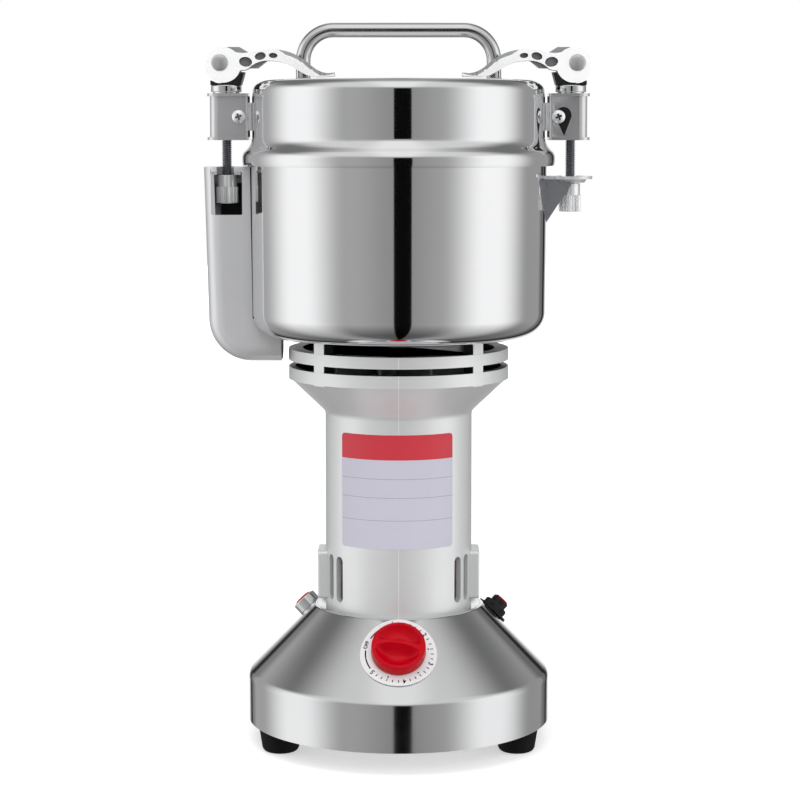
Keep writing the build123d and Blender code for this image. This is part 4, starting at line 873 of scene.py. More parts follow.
@dataclass
class TimerDial(SubAssembly):
    """The dial plate with its printed scale, and the timer knob."""

    height: float = 57.3
    azimuth: float = -90.0
    plate_top: float = 0.85
    print_lift: float = 0.01
    print_t: float = 0.05
    arcs: tuple[tuple[float, float], ...] = ((125, 148), (173, 212))  # first and last degree of each
    arc_r: tuple[float, float] = (16.05, 16.7)
    tick_r: tuple[float, float] = (16.0, 17.4)
    tick_half: float = 0.75  # in degrees
    ticks: int = 6  # steps in a minute
    arc_step: float = 4.0  # degrees in one flat piece of an arc
    dot_at: float = 15.0
    dot_r: float = 0.42
    figure_at: float = 16.75
    figure_h: float = 3.3
    word_h: float = 2.6
    stroke: float = 0.07  # by which the strokes of the figures are fattened
    off_at: float = 162.0  # direction of OFF in degrees
    one_at: float = 100.0  # direction of the first minute
    minute: float = 60.0  # degrees in a minute
    minutes: int = 5
    knob_low: float = 1.05
    knob_r: float = 13.6
    knob_wall: float = 7.3
    knob_top: float = 10.5
    knob_turn: float = -9.0
    knob_draw: float = 0.25  # how much narrower the wall is at its top
    knob_foot: float = 0.6  # width of the chamfer under the wall
    knob_brow: float = 0.7  # width of the chamfer over it
    knob_solid: float = 3.0  # height of the lower part, which the scoops don't press
    knob_rings: int = 36
    dome: float = 0.0176  # fall of the top with the square of the radius
    scoop_deep: float = 5.8
    scoop_r: float = 11.7
    scoop_from: float = 5.0  # radius from which the scoops rise to their shores
    scoop_flank: float = 4.2  # width of the flank of the grip
    shore: float = 2.4  # how late the scoops rise: the power of their outer slope
    grip: tuple[float, float] = (0.35, 1.7)  # half width of the crest at its middle, and gain at its end
    grip_end: float = 13.0
    spindle_under: float = 1.2  # plastic left between the scoops and the spindle

    def build(self) -> None:
        """Dresses the plate, prints its scale and dresses the knob."""
        self.refine(Finishes.DIAL, "dial_plate", edge_mm=0.12)
        self.knob()
        self.spindle()
        self.keep(Finishes.NYLON, "timer_body")
        self.scale()

    def knob(self) -> None:
        """Turns the knob's blank and presses the two finger scoops into its domed top."""
        top = self.knob_r - self.knob_brow
        line = rounded([(0, self.knob_low, 0), (self.knob_r - self.knob_foot, self.knob_low, 0),
                        (self.knob_r, self.knob_low + 0.5, 0.2),
                        (self.knob_r - self.knob_draw, self.knob_wall, 0.5), (top, self.crest(top), 0)], 4)
        radii = [top * (1 - ring / self.knob_rings) for ring in range(1, self.knob_rings + 1)]
        line += [(r, self.crest(r)) for r in radii]
        piece = spun("timer_knob_moulded", line, steps=240, smooth=45)
        for vertex in piece.data.vertices:
            x, y, z = vertex.co / MM
            if z > self.knob_low + self.knob_solid:
                vertex.co.z -= self.scoop(x, y) * MM
        shade(piece, 50)
        stand_on(piece, cone_plane(self.height, self.azimuth, turn=self.knob_turn))
        stand_in(piece, Finishes.RED_ABS, "timer_knob")

    def spindle(self) -> None:
        """Cuts the timer's spindle off under the scoops of the knob."""
        piece = refined("timer_spindle")
        bpy.ops.object.mode_set(mode="EDIT")
        bpy.ops.mesh.select_all(action="SELECT")
        lift = self.knob_top - self.scoop_deep - self.spindle_under
        place = cone_plane(self.height, self.azimuth, lift)
        bpy.ops.mesh.bisect(plane_co=place.translation, plane_no=place.to_3x3() @ UP, clear_outer=True,
                            use_fill=True)
        tidy()
        stand_in(piece, Finishes.ZINC, "timer_spindle")

    def crest(self, r: float) -> float:
        """Height of the knob's domed top at a radius, in millimetres."""
        return self.knob_top - self.dome * r ** 2

    def scoop(self, x: float, y: float) -> float:
        """How deep the top is pressed in at a point, beside the grip that runs along X.

        Args:
            x: place along the grip in millimetres.
            y: place across it.

        Returns:
            The depth in millimetres.
        """
        narrow, gain = self.grip
        crest = narrow + gain * (x / self.grip_end) ** 2
        flank = min(max((abs(y) - crest) / self.scoop_flank, 0.0), 1.0)
        out = min(max((math.hypot(x, y) - self.scoop_from) / (self.scoop_r - self.scoop_from), 0.0), 1.0)
        return self.scoop_deep * (1 - (1 - flank) ** 2) * (1 - out ** self.shore)

    def wrapped(self, piece: Piece) -> None:
        """Lays flat print, made round the origin, on the curved face of the plate.

        Args:
            piece: the print, as a mesh in the plane of the dial.
        """
        place = cone_plane(self.height, self.azimuth)
        out = (place.to_3x3() @ UP).normalized()
        aside, up = cone_out()
        for vertex in piece.data.vertices:
            point = place @ vertex.co
            for _ in range(4):  # each step comes nearer to the curved face
                off = ((math.hypot(point.x, point.y) / MM - BaseUnit.base_r) * aside
                       + (point.z / MM - BaseUnit.skirt_top_z) * up)
                point = point + out * (self.plate_top + self.print_lift - off) * MM
            vertex.co = point

    def scale(self) -> None:
        """Prints the ring of minutes: arcs, ticks, dots and figures."""
        pieces = [self.arc(start, end, self.arc_r) for start, end in self.arcs]
        pieces.append(self.figure("OFF", self.off_at))
        for number in range(self.minutes):
            here = self.one_at - number * self.minute
            pieces.append(self.figure(str(number + 1), here))
            if number == self.minutes - 1:
                break
            for step in range(1, self.ticks):
                angle = here - step * self.minute / self.ticks
                pieces.append(self.arc(angle - self.tick_half, angle + self.tick_half, self.tick_r))
            pieces.append(self.dot(here - self.minute / 2))
        piece = joined(pieces, "dial_scale_print")
        modify(piece, "SOLIDIFY", thickness=self.print_t * MM, offset=1.0)
        dress(piece, Finishes.INK, "stand", "black_plastic")

    def arc(self, start: float, end: float, radii: tuple[float, float]) -> Piece:
        """A flat piece of a ring.

        Args:
            start: its first angle in degrees.
            end: its last angle.
            radii: its inner and its outer radius in millimetres.

        Returns:
            The arc, laid on the plate.
        """
        a = math.radians(start)
        piece = chained("dial_arc", [vector(r * math.cos(a), r * math.sin(a), 0) for r in radii])
        bpy.ops.mesh.spin(steps=max(2, round((end - start) / self.arc_step)),
                          angle=-math.radians(end - start), center=(0, 0, 0), axis=UP)
        tidy()
        face_up(piece)
        self.wrapped(piece)
        return piece

    def dot(self, angle: float) -> Piece:
        """A round dot at a half minute, laid on the plate.

        Args:
            angle: where it stands on the scale, in degrees.

        Returns:
            The dot.
        """
        a = math.radians(angle)
        bpy.ops.mesh.primitive_circle_add(
            vertices=14, radius=self.dot_r * MM, fill_type="NGON",
            location=vector(self.dot_at * math.cos(a), self.dot_at * math.sin(a), 0))
        piece = started("dial_dot")
        tidy()
        face_up(piece)
        self.wrapped(piece)
        return piece

    def figure(self, text: str, angle: float) -> Piece:
        """A printed figure whose top points outwards.

        Args:
            text: what it says.
            angle: where it stands on the scale, in degrees.

        Returns:
            The figure as a mesh, laid on the plate.
        """
        bpy.ops.object.text_add()
        letters = bpy.context.object.data
        letters.body = text
        letters.size = (self.figure_h if len(text) == 1 else self.word_h) * MM
        letters.offset = self.stroke * MM
        letters.align_x = letters.align_y = "CENTER"
        bpy.ops.object.convert(target="MESH")
        piece = bpy.context.object
        turn = Matrix.Rotation(math.radians(angle - 90), 4, "Z")
        piece.data.transform(turn @ Matrix.Translation(vector(0, self.figure_at, 0)))
        self.wrapped(piece)
        return piece


@dataclass
class PanelControls(SubAssembly):
    """The power button, the circuit breaker and the power inlet."""

    breaker_height: float = 63.2
    breaker_azimuth: float = 18.0
    flange_r: float = 8.65
    flange_t: float = 1.0
    lift: float = 0.05  # gap under the flange
    teeth: int = 48
    nut_r: float = 6.5
    nut_h: float = 2.9
    chamfer: float = 0.6
    shrink: float = 0.9  # of the nut's top, by the chamfer
    groove: float = 0.94  # share of the radius that is left in a groove of the knurl
    bore_wall: float = 1.25
    bore_deep: float = 2.0

    def build(self) -> None:
        """Dresses the controls."""
        self.refine(Finishes.MIRROR_STEEL, "button_bezel", edge_mm=0.1)
        self.refine(Finishes.RED_ABS, "power_button", edge_mm=0.1)
        self.refine(Finishes.NYLON, "breaker_body", "power_inlet", edge_mm=0.15)
        self.refine(Finishes.RED_ABS, "breaker_button", edge_mm=0.1)
        self.keep(Finishes.ZINC, "panel_nuts")
        self.refine(Finishes.BRASS, "inlet_pins", edge_mm=0.15)
        self.breaker_ring()

    def breaker_ring(self) -> None:
        """Turns the breaker's flange and its nut, knurls the nut and bores it."""
        bpy.ops.mesh.primitive_cylinder_add(vertices=2 * self.teeth, radius=self.flange_r * MM,
                                            depth=self.flange_t * MM,
                                            location=vector(0, 0, self.lift + self.flange_t / 2))
        piece = started("breaker_nut_knurled")
        pick(piece, "faces", lambda f: f.normal.z > 0.9)
        bpy.ops.mesh.inset(thickness=(self.flange_r - self.nut_r) * MM)
        for height in (self.nut_h, self.chamfer):
            bpy.ops.mesh.extrude_region_move(TRANSFORM_OT_translate={"value": vector(0, 0, height)})
        bpy.ops.transform.resize(value=(self.shrink, self.shrink, 1.0), center_override=(0, 0, 0))
        pick(piece, "verts", self.in_groove)
        bpy.ops.transform.resize(value=(self.groove, self.groove, 1.0), center_override=(0, 0, 0))
        pick(piece, "faces", lambda f: f.normal.z > 0.9 and f.calc_center_median().xy.length < MM
             and f.calc_center_median().z > self.nut_h * MM)
        bpy.ops.mesh.inset(thickness=self.bore_wall * MM)
        bpy.ops.mesh.extrude_region_move(TRANSFORM_OT_translate={"value": vector(0, 0, -self.bore_deep)})
        tidy()
        stand_on(piece, cone_plane(self.breaker_height, self.breaker_azimuth))
        shade(piece, 25)
        stand_in(piece, Finishes.NYLON, "breaker_nut")

    def in_groove(self, vertex: bmesh.types.BMVert) -> bool:
        """Finds the grooves of the knurl.

        Args:
            vertex: a vertex of the flange or of the nut.

        Returns:
            Whether it lies on the nut's skirt, in a groove.
        """
        x, y, z = vertex.co / MM
        on_skirt = self.flange_t + 0.2 < z < self.flange_t + self.nut_h + 0.3
        outside = math.hypot(x, y) > self.nut_r - 0.2
        return on_skirt and outside and round(math.atan2(y, x) / TURN * 2 * self.teeth) % 2 == 0


# ---------------------------------------------------------------- motor column


@dataclass
class MotorColumn(SubAssembly):
    """The cast housing with its vents, brush covers and label."""

    column_r: float = 37.6
    label_from: float = -49.0  # degrees from the front
    label_to: float = 46.0
    label_low: float = 105.5
    label_top: float = 163.2
    label_corner: float = 2.0
    strips: int = 48
    film_lift: float = 0.02
    film_t: float = 0.12

    def build(self) -> None:
        """Dresses the housing and makes the label."""
        self.refine(Finishes.SILVER_LACQUER, "motor_housing", edge_mm=0.3)
        self.refine(Finishes.SILVER_LACQUER, "brush_covers", edge_mm=0.15)
        self.refine(Finishes.ZINC, "machine_screws")
        self.label()

    def label(self) -> None:
        """Cuts the film flat with round corners, divides it into strips and wraps it round the column."""
        wide = math.radians(self.label_to - self.label_from) * self.column_r
        bpy.ops.mesh.primitive_plane_add(size=1.0)
        bpy.context.object.scale = vector(wide, self.label_top - self.label_low, 1)
        piece = started("label_film")
        bpy.ops.mesh.select_all(action="SELECT")
        bpy.ops.mesh.bevel(offset=self.label_corner * MM, segments=5, affect="VERTICES")
        for strip in range(1, self.strips):
            bpy.ops.mesh.select_all(action="SELECT")
            bpy.ops.mesh.bisect(plane_co=vector(wide * (strip / self.strips - 0.5), 0, 0),
                                plane_no=(1, 0, 0))
        tidy()
        middle = math.radians((self.label_from + self.label_to) / 2 - 90)
        z_mid = (self.label_low + self.label_top) / 2
        r = self.column_r + self.film_lift
        for vertex in piece.data.vertices:
            x, y, _ = vertex.co / MM
            a = middle + x / self.column_r
            vertex.co = vector(r * math.cos(a), r * math.sin(a), z_mid + y)
        bpy.ops.object.mode_set(mode="EDIT")
        tidy()
        first = piece.data.polygons[0]
        if first.normal.dot(Vector((*first.center.xy, 0))) < 0:
            piece.data.flip_normals()
        modify(piece, "SOLIDIFY", thickness=self.film_t * MM, offset=1.0)
        shade(piece, SMOOTH)
        dress(piece, Finishes.FILM, "stand", "grey_plastic")


@dataclass
class MotorInside(SubAssembly):
    """The motor, its bearings, brushes and fan."""

    def build(self) -> None:
        """Dresses the inner pieces, which show through the vents and the gaps under the bowl."""
        self.keep(Finishes.NYLON, "brush_bracket")
        self.keep(Finishes.BRASS, "brush_holders")
        self.keep(Finishes.CARBON, "carbon_brushes")
        self.keep(Finishes.IRON, "stator_core", "armature_core")
        self.keep(Finishes.COPPER, "field_coils", "armature_coils", "commutator")
        self.keep(Finishes.ZINC, "lower_bearing", "upper_bearing")
        self.keep(Finishes.SILVER_LACQUER, "bearing_bracket")
        self.refine(Finishes.BLADE, "rotor_shaft")
        self.refine(Finishes.GREY_ABS, "cooling_fan", edge_mm=0.15)


# ---------------------------------------------------------------- bowl, blades and lid


@dataclass
class Bowl(SubAssembly):
    """The spun steel bowl with its seal."""

    low_r: float = 73.8
    r: float = 74.5
    low_z: float = 211.0
    rim_z: float = 300.0
    rim_w: float = 2.9
    rim_bend: float = 0.8
    corner: float = 11.5
    hole_r: float = 8.0
    sheet: float = 1.0

    def build(self) -> None:
        """Spins the bowl from one sheet."""
        line = rounded([(self.hole_r, self.low_z, 0), (self.low_r, self.low_z, self.corner),
                        (self.r, self.rim_z, self.rim_bend), (self.r + self.rim_w, self.rim_z, 0)], 14)
        piece = spun("bowl_spun", line, steps=256, wall=self.sheet)
        stand_in(piece, Finishes.MIRROR_STEEL, "bowl")
        self.refine(Finishes.RUBBER, "shaft_seal", edge_mm=0.2)


@dataclass
class GrindingSet(SubAssembly):
    """The blades and what holds them."""

    def build(self) -> None:
        """Dresses the blades, their spacer, washer and nut."""
        self.refine(Finishes.BLADE, "lower_blade", "upper_blade", edge_mm=0.25)
        self.refine(Finishes.ZINC, "blade_spacer", "blade_washer", "blade_nut", edge_mm=0.25)


@dataclass
class Lid(SubAssembly):
    """The stepped lid with its handle and gasket."""

    skirt_r: float = 79.6
    skirt_z: float = 296.8
    skirt_edge: tuple[float, float] = (0.4, 1.6)  # width and height by which the skirt's edge is drawn in
    flare_low_z: float = 303.0
    flare_top_z: float = 308.6
    flare_bends: tuple[float, float] = (6.0, 9.0)
    r: float = 74.2
    edge_z: float = 339.5
    top_z: float = 340.4
    corner: float = 6.0
    sheet: float = 1.0
    handle_r: float = 3.75
    handle_half: float = 48.75
    handle_y: float = 12.0
    handle_top: float = 369.0
    handle_bend: float = 15.5
    handle_steps: int = 18  # in each bend
    foot_gap: float = 0.15
    bead: tuple[float, float] = (0.9, 1.0)  # width and height of the weld
    bead_sunk: float = 0.6
    bead_in: float = 0.2  # how far it reaches into the bar
    crown_rings: tuple[float, ...] = (50.0, 35.0, 20.0, 8.0, 0.0)

    def build(self) -> None:
        """Spins the lid, bends the handle and dresses the gasket."""
        self.shell()
        self.handle()
        self.refine(Finishes.SEAL, "lid_gasket", edge_mm=0.2)

    def crown(self, r: float) -> float:
        """Height of the slightly domed top.

        Args:
            r: distance from the axis in millimetres.

        Returns:
            The height in millimetres.
        """
        rise = self.top_z - self.edge_z
        dome = (self.r ** 2 + rise ** 2) / (2 * rise)
        return self.top_z - dome + math.sqrt(dome ** 2 - r ** 2)

    def shell(self) -> None:
        """Spins the skirt, the flare, the wall and the crown from one sheet."""
        inset, edge = self.skirt_edge
        low_bend, top_bend = self.flare_bends
        inner = self.r - 2 * self.corner
        line = rounded([(self.skirt_r - inset, self.skirt_z, 0), (self.skirt_r, self.skirt_z + edge, 0),
                        (self.skirt_r, self.flare_low_z, low_bend), (self.r, self.flare_top_z, top_bend),
                        (self.r, self.edge_z, self.corner), (inner, self.crown(inner), 0)], 12)
        line += [(r, self.crown(r)) for r in self.crown_rings]
        stand_in(spun("lid_shell_spun", line, steps=256, wall=self.sheet), Finishes.MIRROR_STEEL, "lid_shell")

    def handle(self) -> None:
        """Bends a round bar: a ring of edges goes up, round a corner, across, round the other and down."""
        foot = self.crown(math.hypot(self.handle_half, self.handle_y)) + self.foot_gap
        rise = self.handle_top - self.handle_r - self.handle_bend
        bend = self.handle_half - self.handle_bend
        bpy.ops.mesh.primitive_circle_add(vertices=40, radius=self.handle_r * MM,
                                          location=vector(-self.handle_half, self.handle_y, foot))
        piece = started("lid_handle_bent")
        bpy.ops.mesh.select_all(action="SELECT")
        bpy.ops.mesh.extrude_edges_move(TRANSFORM_OT_translate={"value": vector(0, 0, rise - foot)})
        for middle, run in ((-bend, vector(2 * bend, 0, 0)), (bend, vector(0, 0, foot - rise))):
            bpy.ops.mesh.spin(steps=self.handle_steps, angle=-TURN / 4, axis=(0, 1, 0),
                              center=vector(middle, self.handle_y, rise))
            bpy.ops.mesh.extrude_edges_move(TRANSFORM_OT_translate={"value": run})
        pick(piece, "edges", lambda e: e.is_boundary)
        bpy.ops.mesh.edge_face_add()
        tidy()
        shade(piece, 40)
        stand_in(piece, Finishes.TUBE_STEEL, "lid_handle")
        self.weld_beads(foot)

    def weld_beads(self, foot: float) -> None:
        """Runs a small fillet of weld round each foot of the handle.

        Args:
            foot: height of the feet in millimetres.
        """
        wide, high = self.bead
        inner = self.handle_r - self.bead_in
        line = rounded([(inner, -self.bead_sunk, 0), (self.handle_r + wide, -self.bead_sunk, 0.3),
                        (self.handle_r + 0.15, high - 0.1, 0.3), (inner, high, 0)], 3)
        for hand, word in ((-1, "left"), (1, "right")):
            bead = spun(f"handle_weld_{word}", [*line, line[0]], steps=40,
                        centre=(hand * self.handle_half, self.handle_y, foot))
            dress(bead, Finishes.PLATE_STEEL, "lid", slot_of("lid_handle"))


# ---------------------------------------------------------------- cam clamps


class Side(Enum):
    """The two clamps."""

    LEFT = -1
    RIGHT = 1

    @property
    def word(self) -> str:
        """The side as it stands in names."""
        return self.name.lower()


@dataclass
class CamClamp(SubAssembly):
    """One clamp: the threaded rod with its eye, the knurled nut, the cam lever and its pin."""

    side: Side = Side.LEFT
    rod_x: float = 87.2
    pin_x: float = 90.0
    pin_z: float = 348.3
    pin_r: float = 4.25  # of the bore in the rod's eye
    eye_r: float = 6.2
    eye_w: float = 5.4
    eye_wall: float = 1.2  # how far the shank reaches into the eye
    root_r: float = 1.95
    crest_r: float = 2.6
    pitch: float = 1.05  # a real M5 thread has 0.8, too fine to show: it is drawn coarser
    flank: tuple[float, ...] = (0.16, 0.5, 0.68)  # end of the root, start and end of the crest, in the pitch
    thread_top: float = 325.0
    runout: float = 0.5  # height of the cone between the thread and the shank
    core_gap: float = 0.05  # by which the core stands out between the turns of the thread
    thread_hidden: float = 1.5  # how far the thread begins above the bottom of the nut
    nut_r: float = 5.6
    neck_r: float = 5.1
    nut_h: float = 14.4
    neck_h: float = 6.0
    flutes: int = 34  # a real knurl has about 60, too fine to show: it is drawn coarser
    groove: float = 0.95  # share of the radius that is left in a groove of the knurl
    cross_r: float = 4.2
    cross_half: float = 7.0
    cross_dome: float = 1.1
    lever_half: float = 7.0
    arm_from: float = 29.3  # where the slope begins, from the pin
    arm_to: float = 57.0
    slope: float = 2.4
    slope_in: float = 4.0  # length over which the slope begins
    slope_out: float = 9.0
    slope_end: float = 0.3  # share of it that is left at the tip
    lever_edge: float = 0.25
    block_d: float = 17.5
    drop_r: float = 4.1
    drop_x: float = 83.0
    drop_z: float = 322.0
    drop_tip: float = 311.6
    drop_lean: float = 0.4
    drop_deep: float = 0.5

    def build(self) -> None:
        """Builds the clamp from the lever down to the nut."""
        self.lever()
        self.pin()
        self.block()
        self.rod()
        self.nut()

    @property
    def nut_top(self) -> float:
        """Top of the nut, which each clamp has at its own height."""
        return 291.9 if self.side is Side.LEFT else 287.7

    def upright(self, height: float) -> Matrix:
        """The place of the rod's axis at a height, as a matrix in metres."""
        return Matrix.Translation(vector(self.side.value * self.rod_x, 0, height))

    def crosswise(self) -> Matrix:
        """The place of the pin, with local Z along it, as a matrix in metres."""
        return Matrix.Translation(vector(self.side.value * self.pin_x, 0, self.pin_z)) @ QUARTER_X

    def block(self) -> None:
        """Refines the folded block, and presses into the right one a drop-shaped recess, painted black as the
        shade of an opening.
        """
        name = f"clamp_block_{self.side.word}"
        piece = refined(name, 0.2)
        stand_in(piece, Finishes.BLOCK_STEEL, name)
        if self.side is Side.LEFT:
            return
        bpy.ops.mesh.primitive_cylinder_add(
            vertices=48, radius=self.drop_r * MM, depth=2 * self.drop_deep * MM, rotation=(TURN / 4, 0, 0),
            location=vector(self.drop_x, -self.block_d / 2, self.drop_z))
        cutter = started("drop_cutter")
        pick(cutter, "verts", lambda v: v.co.z < (self.drop_z - self.drop_r) * MM + HAIR)
        fall = self.drop_z - self.drop_r - self.drop_tip
        bpy.ops.transform.translate(value=vector(self.drop_lean, 0, -fall))
        bpy.ops.mesh.select_all(action="SELECT")
        bpy.ops.mesh.convex_hull()
        tidy()
        cut(piece, cutter)
        # painted shade: the faces of the recess are black, like the dark inside a deep opening
        dress_faces(piece, Finishes.NYLON, self.in_drop)

    def in_drop(self, centre: Vector, normal: Vector) -> bool:
        """Whether a face belongs to the recess.

        Args:
            centre: the face's centre in millimetres.
            normal: its direction.

        Returns:
            Whether it lies under the face of the block and within the drop.
        """
        deep = self.block_d / 2 + centre.y
        off = math.hypot(centre.x - self.drop_x, min(centre.z - self.drop_z, 0) * 0.35)
        return 0.05 < deep < self.drop_deep + 0.02 and off < self.drop_r + 0.3 and abs(normal.z) < 0.999

    def lever(self) -> None:
        """Refines the cast lever and slopes the upper edges of its arm."""
        name = f"cam_lever_{self.side.word}"
        piece = refined(name)
        bpy.ops.object.mode_set(mode="EDIT")
        for hand in (-1, 1):
            bpy.ops.mesh.select_all(action="SELECT")
            bpy.ops.mesh.bisect(plane_co=vector(0, hand * (self.lever_half - self.slope), 0),
                                plane_no=(0, 1, 0))
        pick(piece, "verts", self.on_edge)
        bpy.ops.object.mode_set(mode="OBJECT")
        for vertex in piece.data.vertices:
            if vertex.select:
                vertex.co.z -= self.fall(vertex.co) * MM
        bpy.ops.object.mode_set(mode="EDIT")
        tidy()
        soften(piece, self.lever_edge, 50)
        shade(piece, SMOOTH, weighted=True)
        stand_in(piece, Finishes.LEVER_CAST, name)

    def on_edge(self, vertex: bmesh.types.BMVert) -> bool:
        """Whether a vertex lies on an upper edge of the lever's arm."""
        return (abs(abs(vertex.co.y) - self.lever_half * MM) < 0.02 * MM and self.fall(vertex.co) > 0
                and any(f.normal.z > 0.2 and abs(f.normal.y) < 0.5 for f in vertex.link_faces))

    def fall(self, place: Vector) -> float:
        """How far the edge of the arm is lowered at a point, in millimetres."""
        along = self.pin_x - abs(place.x) / MM
        return self.slope * max(0.0, min(1.0, (along - self.arm_from) / self.slope_in,
                                         self.slope_end + (self.arm_to - along) / self.slope_out))

    def rod(self) -> None:
        """Cuts the thread, turns the shank and the eye, and joins them."""
        word = self.side.word
        low = self.nut_top - self.nut_h + self.thread_hidden
        high = self.pin_z - self.eye_r + self.eye_wall
        core_r = self.root_r + self.core_gap
        core = spun("rod_core", [(0.0, low + 0.2), (core_r, low + 0.2), (core_r, self.thread_top),
                                 (self.crest_r, self.thread_top + self.runout), (self.crest_r, high),
                                 (0.0, high)], steps=32, centre=(self.side.value * self.rod_x, 0, 0))
        rod = joined([core, self.thread(low), self.eye()], f"clamp_rod_{word}_threaded")
        stand_in(rod, Finishes.THREAD_STEEL, f"clamp_rod_{word}")

    def thread(self, low: float) -> Piece:
        """Cuts the thread from one turn of its profile.

        Args:
            low: height of its lower end in millimetres.

        Returns:
            The new object.
        """
        root_end, crest_start, crest_end = self.flank
        line = [(self.root_r, 0.0), (self.root_r, root_end), (self.crest_r, crest_start),
                (self.crest_r, crest_end), (self.root_r, self.pitch)]
        piece = chained("rod_thread", [vector(r, 0, z) for r, z in line])
        bpy.ops.object.mode_set(mode="OBJECT")
        modify(piece, "SCREW", angle=TURN, screw_offset=self.pitch * MM, steps=20, render_steps=20, axis="Z",
               iterations=int((self.thread_top - low) / self.pitch), use_merge_vertices=True,
               use_normal_calculate=True)
        stand_on(piece, self.upright(low))
        bpy.ops.object.mode_set(mode="EDIT")
        tidy()
        shade(piece, 25)
        return piece

    def eye(self) -> Piece:
        """Turns the eye that the pin goes through.

        Returns:
            The new object.
        """
        hub = rounded([(self.pin_r, -self.eye_w / 2, 0), (self.eye_r, -self.eye_w / 2, 0.5),
                       (self.eye_r, self.eye_w / 2, 0.5), (self.pin_r, self.eye_w / 2, 0)], 3)
        piece = spun("rod_eye", [*hub, hub[0]], steps=48)
        stand_on(piece, self.crosswise())
        return piece

    def nut(self) -> None:
        """Turns the nut with its smooth neck and presses the straight knurl into its skirt."""
        word = self.side.word
        skirt = self.nut_h - self.neck_h
        line = rounded([(0, 0, 0), (self.nut_r, 0, 0.5), (self.nut_r, skirt, 0.2), (self.neck_r, skirt, 0.1),
                        (self.neck_r, self.nut_h, 0.5), (0, self.nut_h, 0)], 3)
        piece = spun(f"clamp_nut_{word}_knurled", line, steps=2 * self.flutes)
        for vertex in piece.data.vertices:
            if vertex.co.xy.length > (self.nut_r - 0.1) * MM and self.in_groove(vertex.co):
                vertex.co.xy *= self.groove
        stand_on(piece, self.upright(self.nut_top - self.nut_h))
        shade(piece, 18)
        stand_in(piece, Finishes.BRIGHT_PLATE, f"clamp_nut_{word}")

    def in_groove(self, place: Vector) -> bool:
        """Whether a point of the nut's skirt lies in a groove of the knurl."""
        return round(math.atan2(place.y, place.x) / TURN * 2 * self.flutes) % 2 == 0

    def pin(self) -> None:
        """Turns the cross pin with its two domed ends."""
        word = self.side.word
        turns = [math.radians(10 * step) for step in range(9)]
        end = [(self.cross_r * math.cos(a), self.cross_half + self.cross_dome * math.sin(a)) for a in turns]
        end.append((0.0, self.cross_half + self.cross_dome))
        line = [(r, -z) for r, z in reversed(end)] + end
        piece = spun(f"lever_pin_{word}_domed", line, steps=64, smooth=50)
        stand_on(piece, self.crosswise())
        stand_in(piece, Finishes.PIN_STEEL, f"lever_pin_{word}")


@dataclass
class ClampMounts(SubAssembly):
    """What the clamps stand on: brackets, screws, collars and saddles."""

    rod_x: float = CamClamp.rod_x
    low: float = 333.0
    top: float = 337.2
    r: float = 7.85
    foot: tuple[float, float] = (1.0, 0.6)  # width and height of the collar's undercut
    bore: float = 2.75
    shank_r: float = 1.9
    shank_h: float = 3.6
    head_r: float = 3.4
    head_h: float = 2.0
    head_side: float = 0.9
    crown_r: float = 1.6
    cross: Point = (3.4, 0.95, 2.6)  # length, width and depth of each arm of the cross recess
    cross_turn: float = 20.0
    screw_x: float = 80.6
    screw_z: float = 321.25
    block_d: float = CamClamp.block_d

    def build(self) -> None:
        """Turns the collars and the screws, and dresses the rest."""
        self.refine(Finishes.PLATE_STEEL, "block_brackets", edge_mm=0.15)
        self.screws()
        self.refine(Finishes.NYLON, "cam_saddles", edge_mm=0.3)
        self.collars()

    def collars(self) -> None:
        """Turns the collar of each rod."""
        cut_in, step = self.foot
        line = rounded([(self.bore, self.low, 0), (self.r - cut_in, self.low, 0),
                        (self.r - cut_in, self.low + step, 0), (self.r, self.low + step, 0.35),
                        (self.r, self.top, 0.5), (self.bore, self.top, 0)], 4)
        rings = [spun("clamp_collar", [*line, line[0]], steps=64, centre=(hand * self.rod_x, 0, 0))
                 for hand in (-1, 1)]
        stand_in(joined(rings, "clamp_collars_turned"), Finishes.MIRROR_STEEL, "clamp_collars")

    def screws(self) -> None:
        """Turns one pan head screw, cuts its cross recess and copies it to both faces of both blocks; the
        recess gets painted shade.
        """
        line = rounded([(0, -self.shank_h, 0), (self.shank_r, -self.shank_h, 0.3), (self.shank_r, 0.0, 0),
                        (self.head_r, 0.0, 0.25), (self.head_r, self.head_side, 0.9),
                        (self.crown_r, self.head_h, 1.5), (0, self.head_h, 0)], 5)
        first = spun("block_screw", line, steps=48)
        for turn in (0, 90):
            cut(first, box_cutter(self.cross, (0, 0, self.head_h), turn + self.cross_turn))
        pieces = []
        for x in (-self.screw_x, self.screw_x):
            for face in (-1, 1):
                piece = first.copy()
                piece.data = first.data.copy()
                bpy.context.scene.collection.objects.link(piece)
                stand_on(piece, Matrix.Translation(vector(x, face * self.block_d / 2, self.screw_z))
                         @ Matrix.Rotation(-face * TURN / 4, 4, "X"))
                pieces.append(piece)
        bpy.data.objects.remove(first)
        piece = joined(pieces, "block_screws_pan_head")
        shade(piece, SHARP)
        stand_in(piece, Finishes.BRIGHT_PLATE, "block_screws")
        # painted shade: the faces of the cross recess are dressed in the darker zinc
        dress_faces(piece, Finishes.ZINC, lambda centre, _: self.in_cross(centre))

    def in_cross(self, centre: Vector) -> bool:
        """Whether a face belongs to the cross recess of a screw.

        Args:
            centre: the face's centre in millimetres.

        Returns:
            Whether it lies inside the head, within reach of the cross.
        """
        out = abs(centre.y) - self.block_d / 2
        off = math.hypot(abs(centre.x) - self.screw_x, centre.z - self.screw_z)
        return off < self.cross[0] / 2 + 0.02 and 0.2 < out < self.head_h - 0.12


